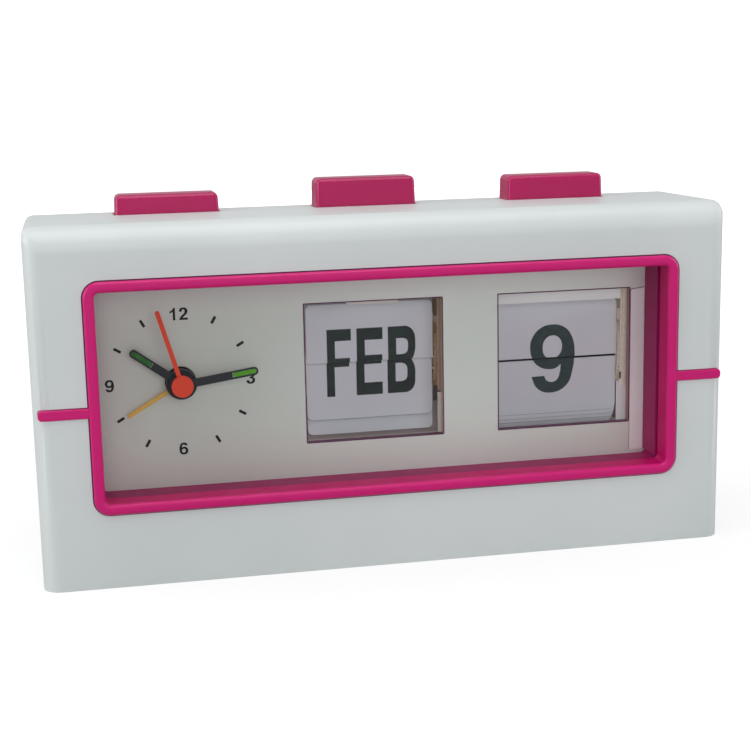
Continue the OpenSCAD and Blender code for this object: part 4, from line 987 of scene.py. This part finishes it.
# thin sheets behind the windows: painted shadow lines at the leaf edges and gaps, the month's next leaf, its window's
# floor in painted shade, and strips beside the cards
sheets = {  # low corner, high corner, corner radius, finish, slot
    "monthLeafEdgeShade": ((-18.64, 2.37, 33.41), (15.84, 2.43, 40.0), 1.6, "leafEdge", "leaf_plastic"),
    "monthRearLeaf": ((-18.3, 3.4, 29.25), (16.0, 3.6, 42.0), 1.5, "cardLeaf", "leaf_plastic"),
    "monthRearEdgeShade": ((-18.44, 3.61, 29.11), (16.14, 3.67, 40.0), 1.6, "leafEdge", "leaf_plastic"),
    "monthWindowFloor": ((-21.0, 6.0, 24.5), (18.4, 6.25, 36.0), 0.8, "mauveFloor", "pale_plastic"),
    "monthGapShade": ((-18.4, 2.17, 48.87), (15.6, 2.32, 49.4), 0.1, "leafEdge", "leaf_plastic"),
    "dateGapShade": ((33.4, 1.45, 46.5), (67.4, 1.6, 47.8), 0.1, "gapShade", "leaf_plastic"),
    "monthGuide": ((16.4, -1.3, 26.0), (18.5, -1.0, 39.9), 0.3, "paleMoulding", "pale_plastic"),
    "dateGuide": ((67.65, -1.45, 25.0), (70.3, -1.22, 40.5), 0.3, "guidePale", "pale_plastic"),
    "dateGuideBack": ((67.8, 1.2, 25.0), (70.3, 1.4, 39.4), 0.3, "guidePale", "pale_plastic"),
    "dateRodBack": ((67.8, 1.3, 56.5), (70.3, 1.5, 59.6), 0.1, "creamMoulding", "pale_plastic"),
    "dateStopEnd": ((65.4, -3.65, 63.15), (66.9, -3.05, 68.0), 0.1, "stopPale", "pale_plastic"),
    "dateGuideShade": ((67.6, -1.45, 40.55), (70.3, -1.22, 42.4), 0.1, "tanShade", "pale_plastic"),
    "dateLeafEdgeShade": ((33.18, 1.64, 31.43), (67.62, 1.69, 38.0), 1.6, "leafEdge", "leaf_plastic"),
    "dateSecondEdgeShade": ((33.18, 2.03, 30.19), (67.62, 2.08, 38.0), 1.6, "leafEdge", "leaf_plastic"),
    "dateThirdEdgeShade": ((33.18, 2.66, 29.06), (67.62, 2.71, 38.0), 1.6, "leafEdge", "leaf_plastic"),
}


def makeSheet(name, low, high, corner, finish, slot):
    piece = block(name, low, high)
    roundEdges(piece, lambda a, b: abs(a.y - b.y) > 0.01 and a.z < low[2] + slack and b.z < low[2] + slack, corner, 6)
    finishPiece(piece, finish, "case")


for name, look in sheets.items():
    makeSheet(name, *look)

# cheek plates over the round openings in the units' right-hand cheeks, so that no dark hole shows beside the cards
cheekPlates = {
    "y": (2.6, 13.0), "corner": 2.0, "soft": 0.08,
    "plates": {  # x, z, finish
        "monthUpperPlate": ((18.6, 18.88), (58.8, 69.4), "tanShadedCream"),
        "monthLowerPlate": ((18.6, 18.88), (28.9, 39.6), "mauveFloor"),
        "dateUpperPlate": ((70.4, 70.68), (56.8, 67.4), "creamMoulding"),
        "dateLowerPlate": ((70.4, 70.68), (26.9, 37.6), "mauveFloor"),
    },
}


def makeCheekPlate(name, x, z, finish, look):
    near, far = look["y"]
    plate = block(name, (x[0], near, z[0]), (x[1], far, z[1]))
    roundEdges(plate, lambda a, b: abs(a.x - b.x) > 0.1, look["corner"], 6)
    roundEdges(plate, lambda a, b: a.x < x[0] + slack and b.x < x[0] + slack, look["soft"], 2)
    finishPiece(plate, finish, "case")


for name, plate in cheekPlates["plates"].items():
    makeCheekPlate(name, *plate, cheekPlates)
print("sheets and plates behind the windows set")

# dial strip: a narrow pale sheet between the date window and the bezel, on a darker sheet that shows a little round it
# as a painted shadow line
dialStrip = {
    "rise": 0.5, "soft": 0.03,
    "layers": {"dialStripEdgeShade": ((68.6, -6.56, 21.75), (72.55, -6.5, 66.02), "stripEdgeShade"),
               "dialStrip": ((68.75, -6.62, 21.75), (72.55, -6.5, 65.8), "stripPale")},
}


def makeDialStrip(name, low, high, finish, look):
    strip = block(name, low, high)
    pick(strip, "VERT", lambda v: v.z > high[2] - slack and v.x > high[0] - slack)
    bpy.ops.transform.translate(value=(0, 0, look["rise"] * mm))
    done()
    softenEdges(strip, look["soft"], 2)
    finishPiece(strip, finish, "case")


for name, layer in dialStrip["layers"].items():
    makeDialStrip(name, *layer, dialStrip)

# rod ribs: the pale face and the ribbed grip on the front of the date push rod
rodRibs = {
    "x": (67.75, 69.95), "front": -3.45, "back": -3.1, "low": 41.0, "high": 67.0,
    "ribs": 9, "first": 44.0, "pitch": 2.0, "rise": 0.3,
    "face": ((67.65, -1.95, 42.5), (70.3, -1.5, 66.6)),
}


def makeRodRibs(look):
    left, right = look["x"]
    front = look["front"]
    grip = block("dateRodGrip", (left, front, look["low"]), (right, look["back"], look["high"]))
    for i in range(look["ribs"]):
        z = look["first"] + i * look["pitch"]
        rib = block("rib", (left, front - look["rise"], z), (right, front + 0.1, z + look["pitch"] * 0.55))
        roundEdges(rib, lambda a, b: abs(a.x - b.x) > 1 and a.y < front - 0.1 and b.y < front - 0.1, 0.2, 3)
        carve(grip, rib, "UNION")
    softenEdges(grip, 0.08, 2)
    face = block("face", *look["face"])
    near = look["face"][0][1] + slack
    roundEdges(face, lambda a, b: a.y < near and b.y < near, 0.12, 3)
    finishPiece(joinPieces("dateRodGrip", [grip, face]), "creamMoulding", "date_key")


makeRodRibs(rodRibs)
print("dial strip and rod grip set")

# glow strips in the slots of the hour and minute hands
glowStrips = {  # angle, reach from the centre, depth behind the front
    "hour": {"angle": 306, "reach": (8.8, 14.9), "depth": (12.28, 12.66), "width": 1.16,
             "finish": "hourGlow", "body": "hour_wheel"},
    "minute": {"angle": 82, "reach": (13.0, 19.1), "depth": (10.88, 11.26), "width": 1.16,
               "finish": "minuteGlow", "body": "minute_wheel"},
}


def fillHand(name, strip):
    cx, cz = dialPrint["centre"]
    half = strip["width"] / 2
    front, back = (frontY + depth for depth in strip["depth"])
    low, high = (cz + reach for reach in strip["reach"])
    piece = block(name + "GlowStrip", (cx - half, front, low), (cx + half, back, high))
    roundEdges(piece, lambda a, b: abs(a.y - b.y) > 0.1, strip["width"] * 0.48, 6)
    roundEdges(piece, lambda a, b: a.y < front + slack and b.y < front + slack, 0.1, 2)
    turnRound(piece, cx, cz, strip["angle"])
    finishPiece(piece, strip["finish"], strip["body"])


for name, strip in glowStrips.items():
    fillHand(name, strip)
print("glow strips set in the hands")
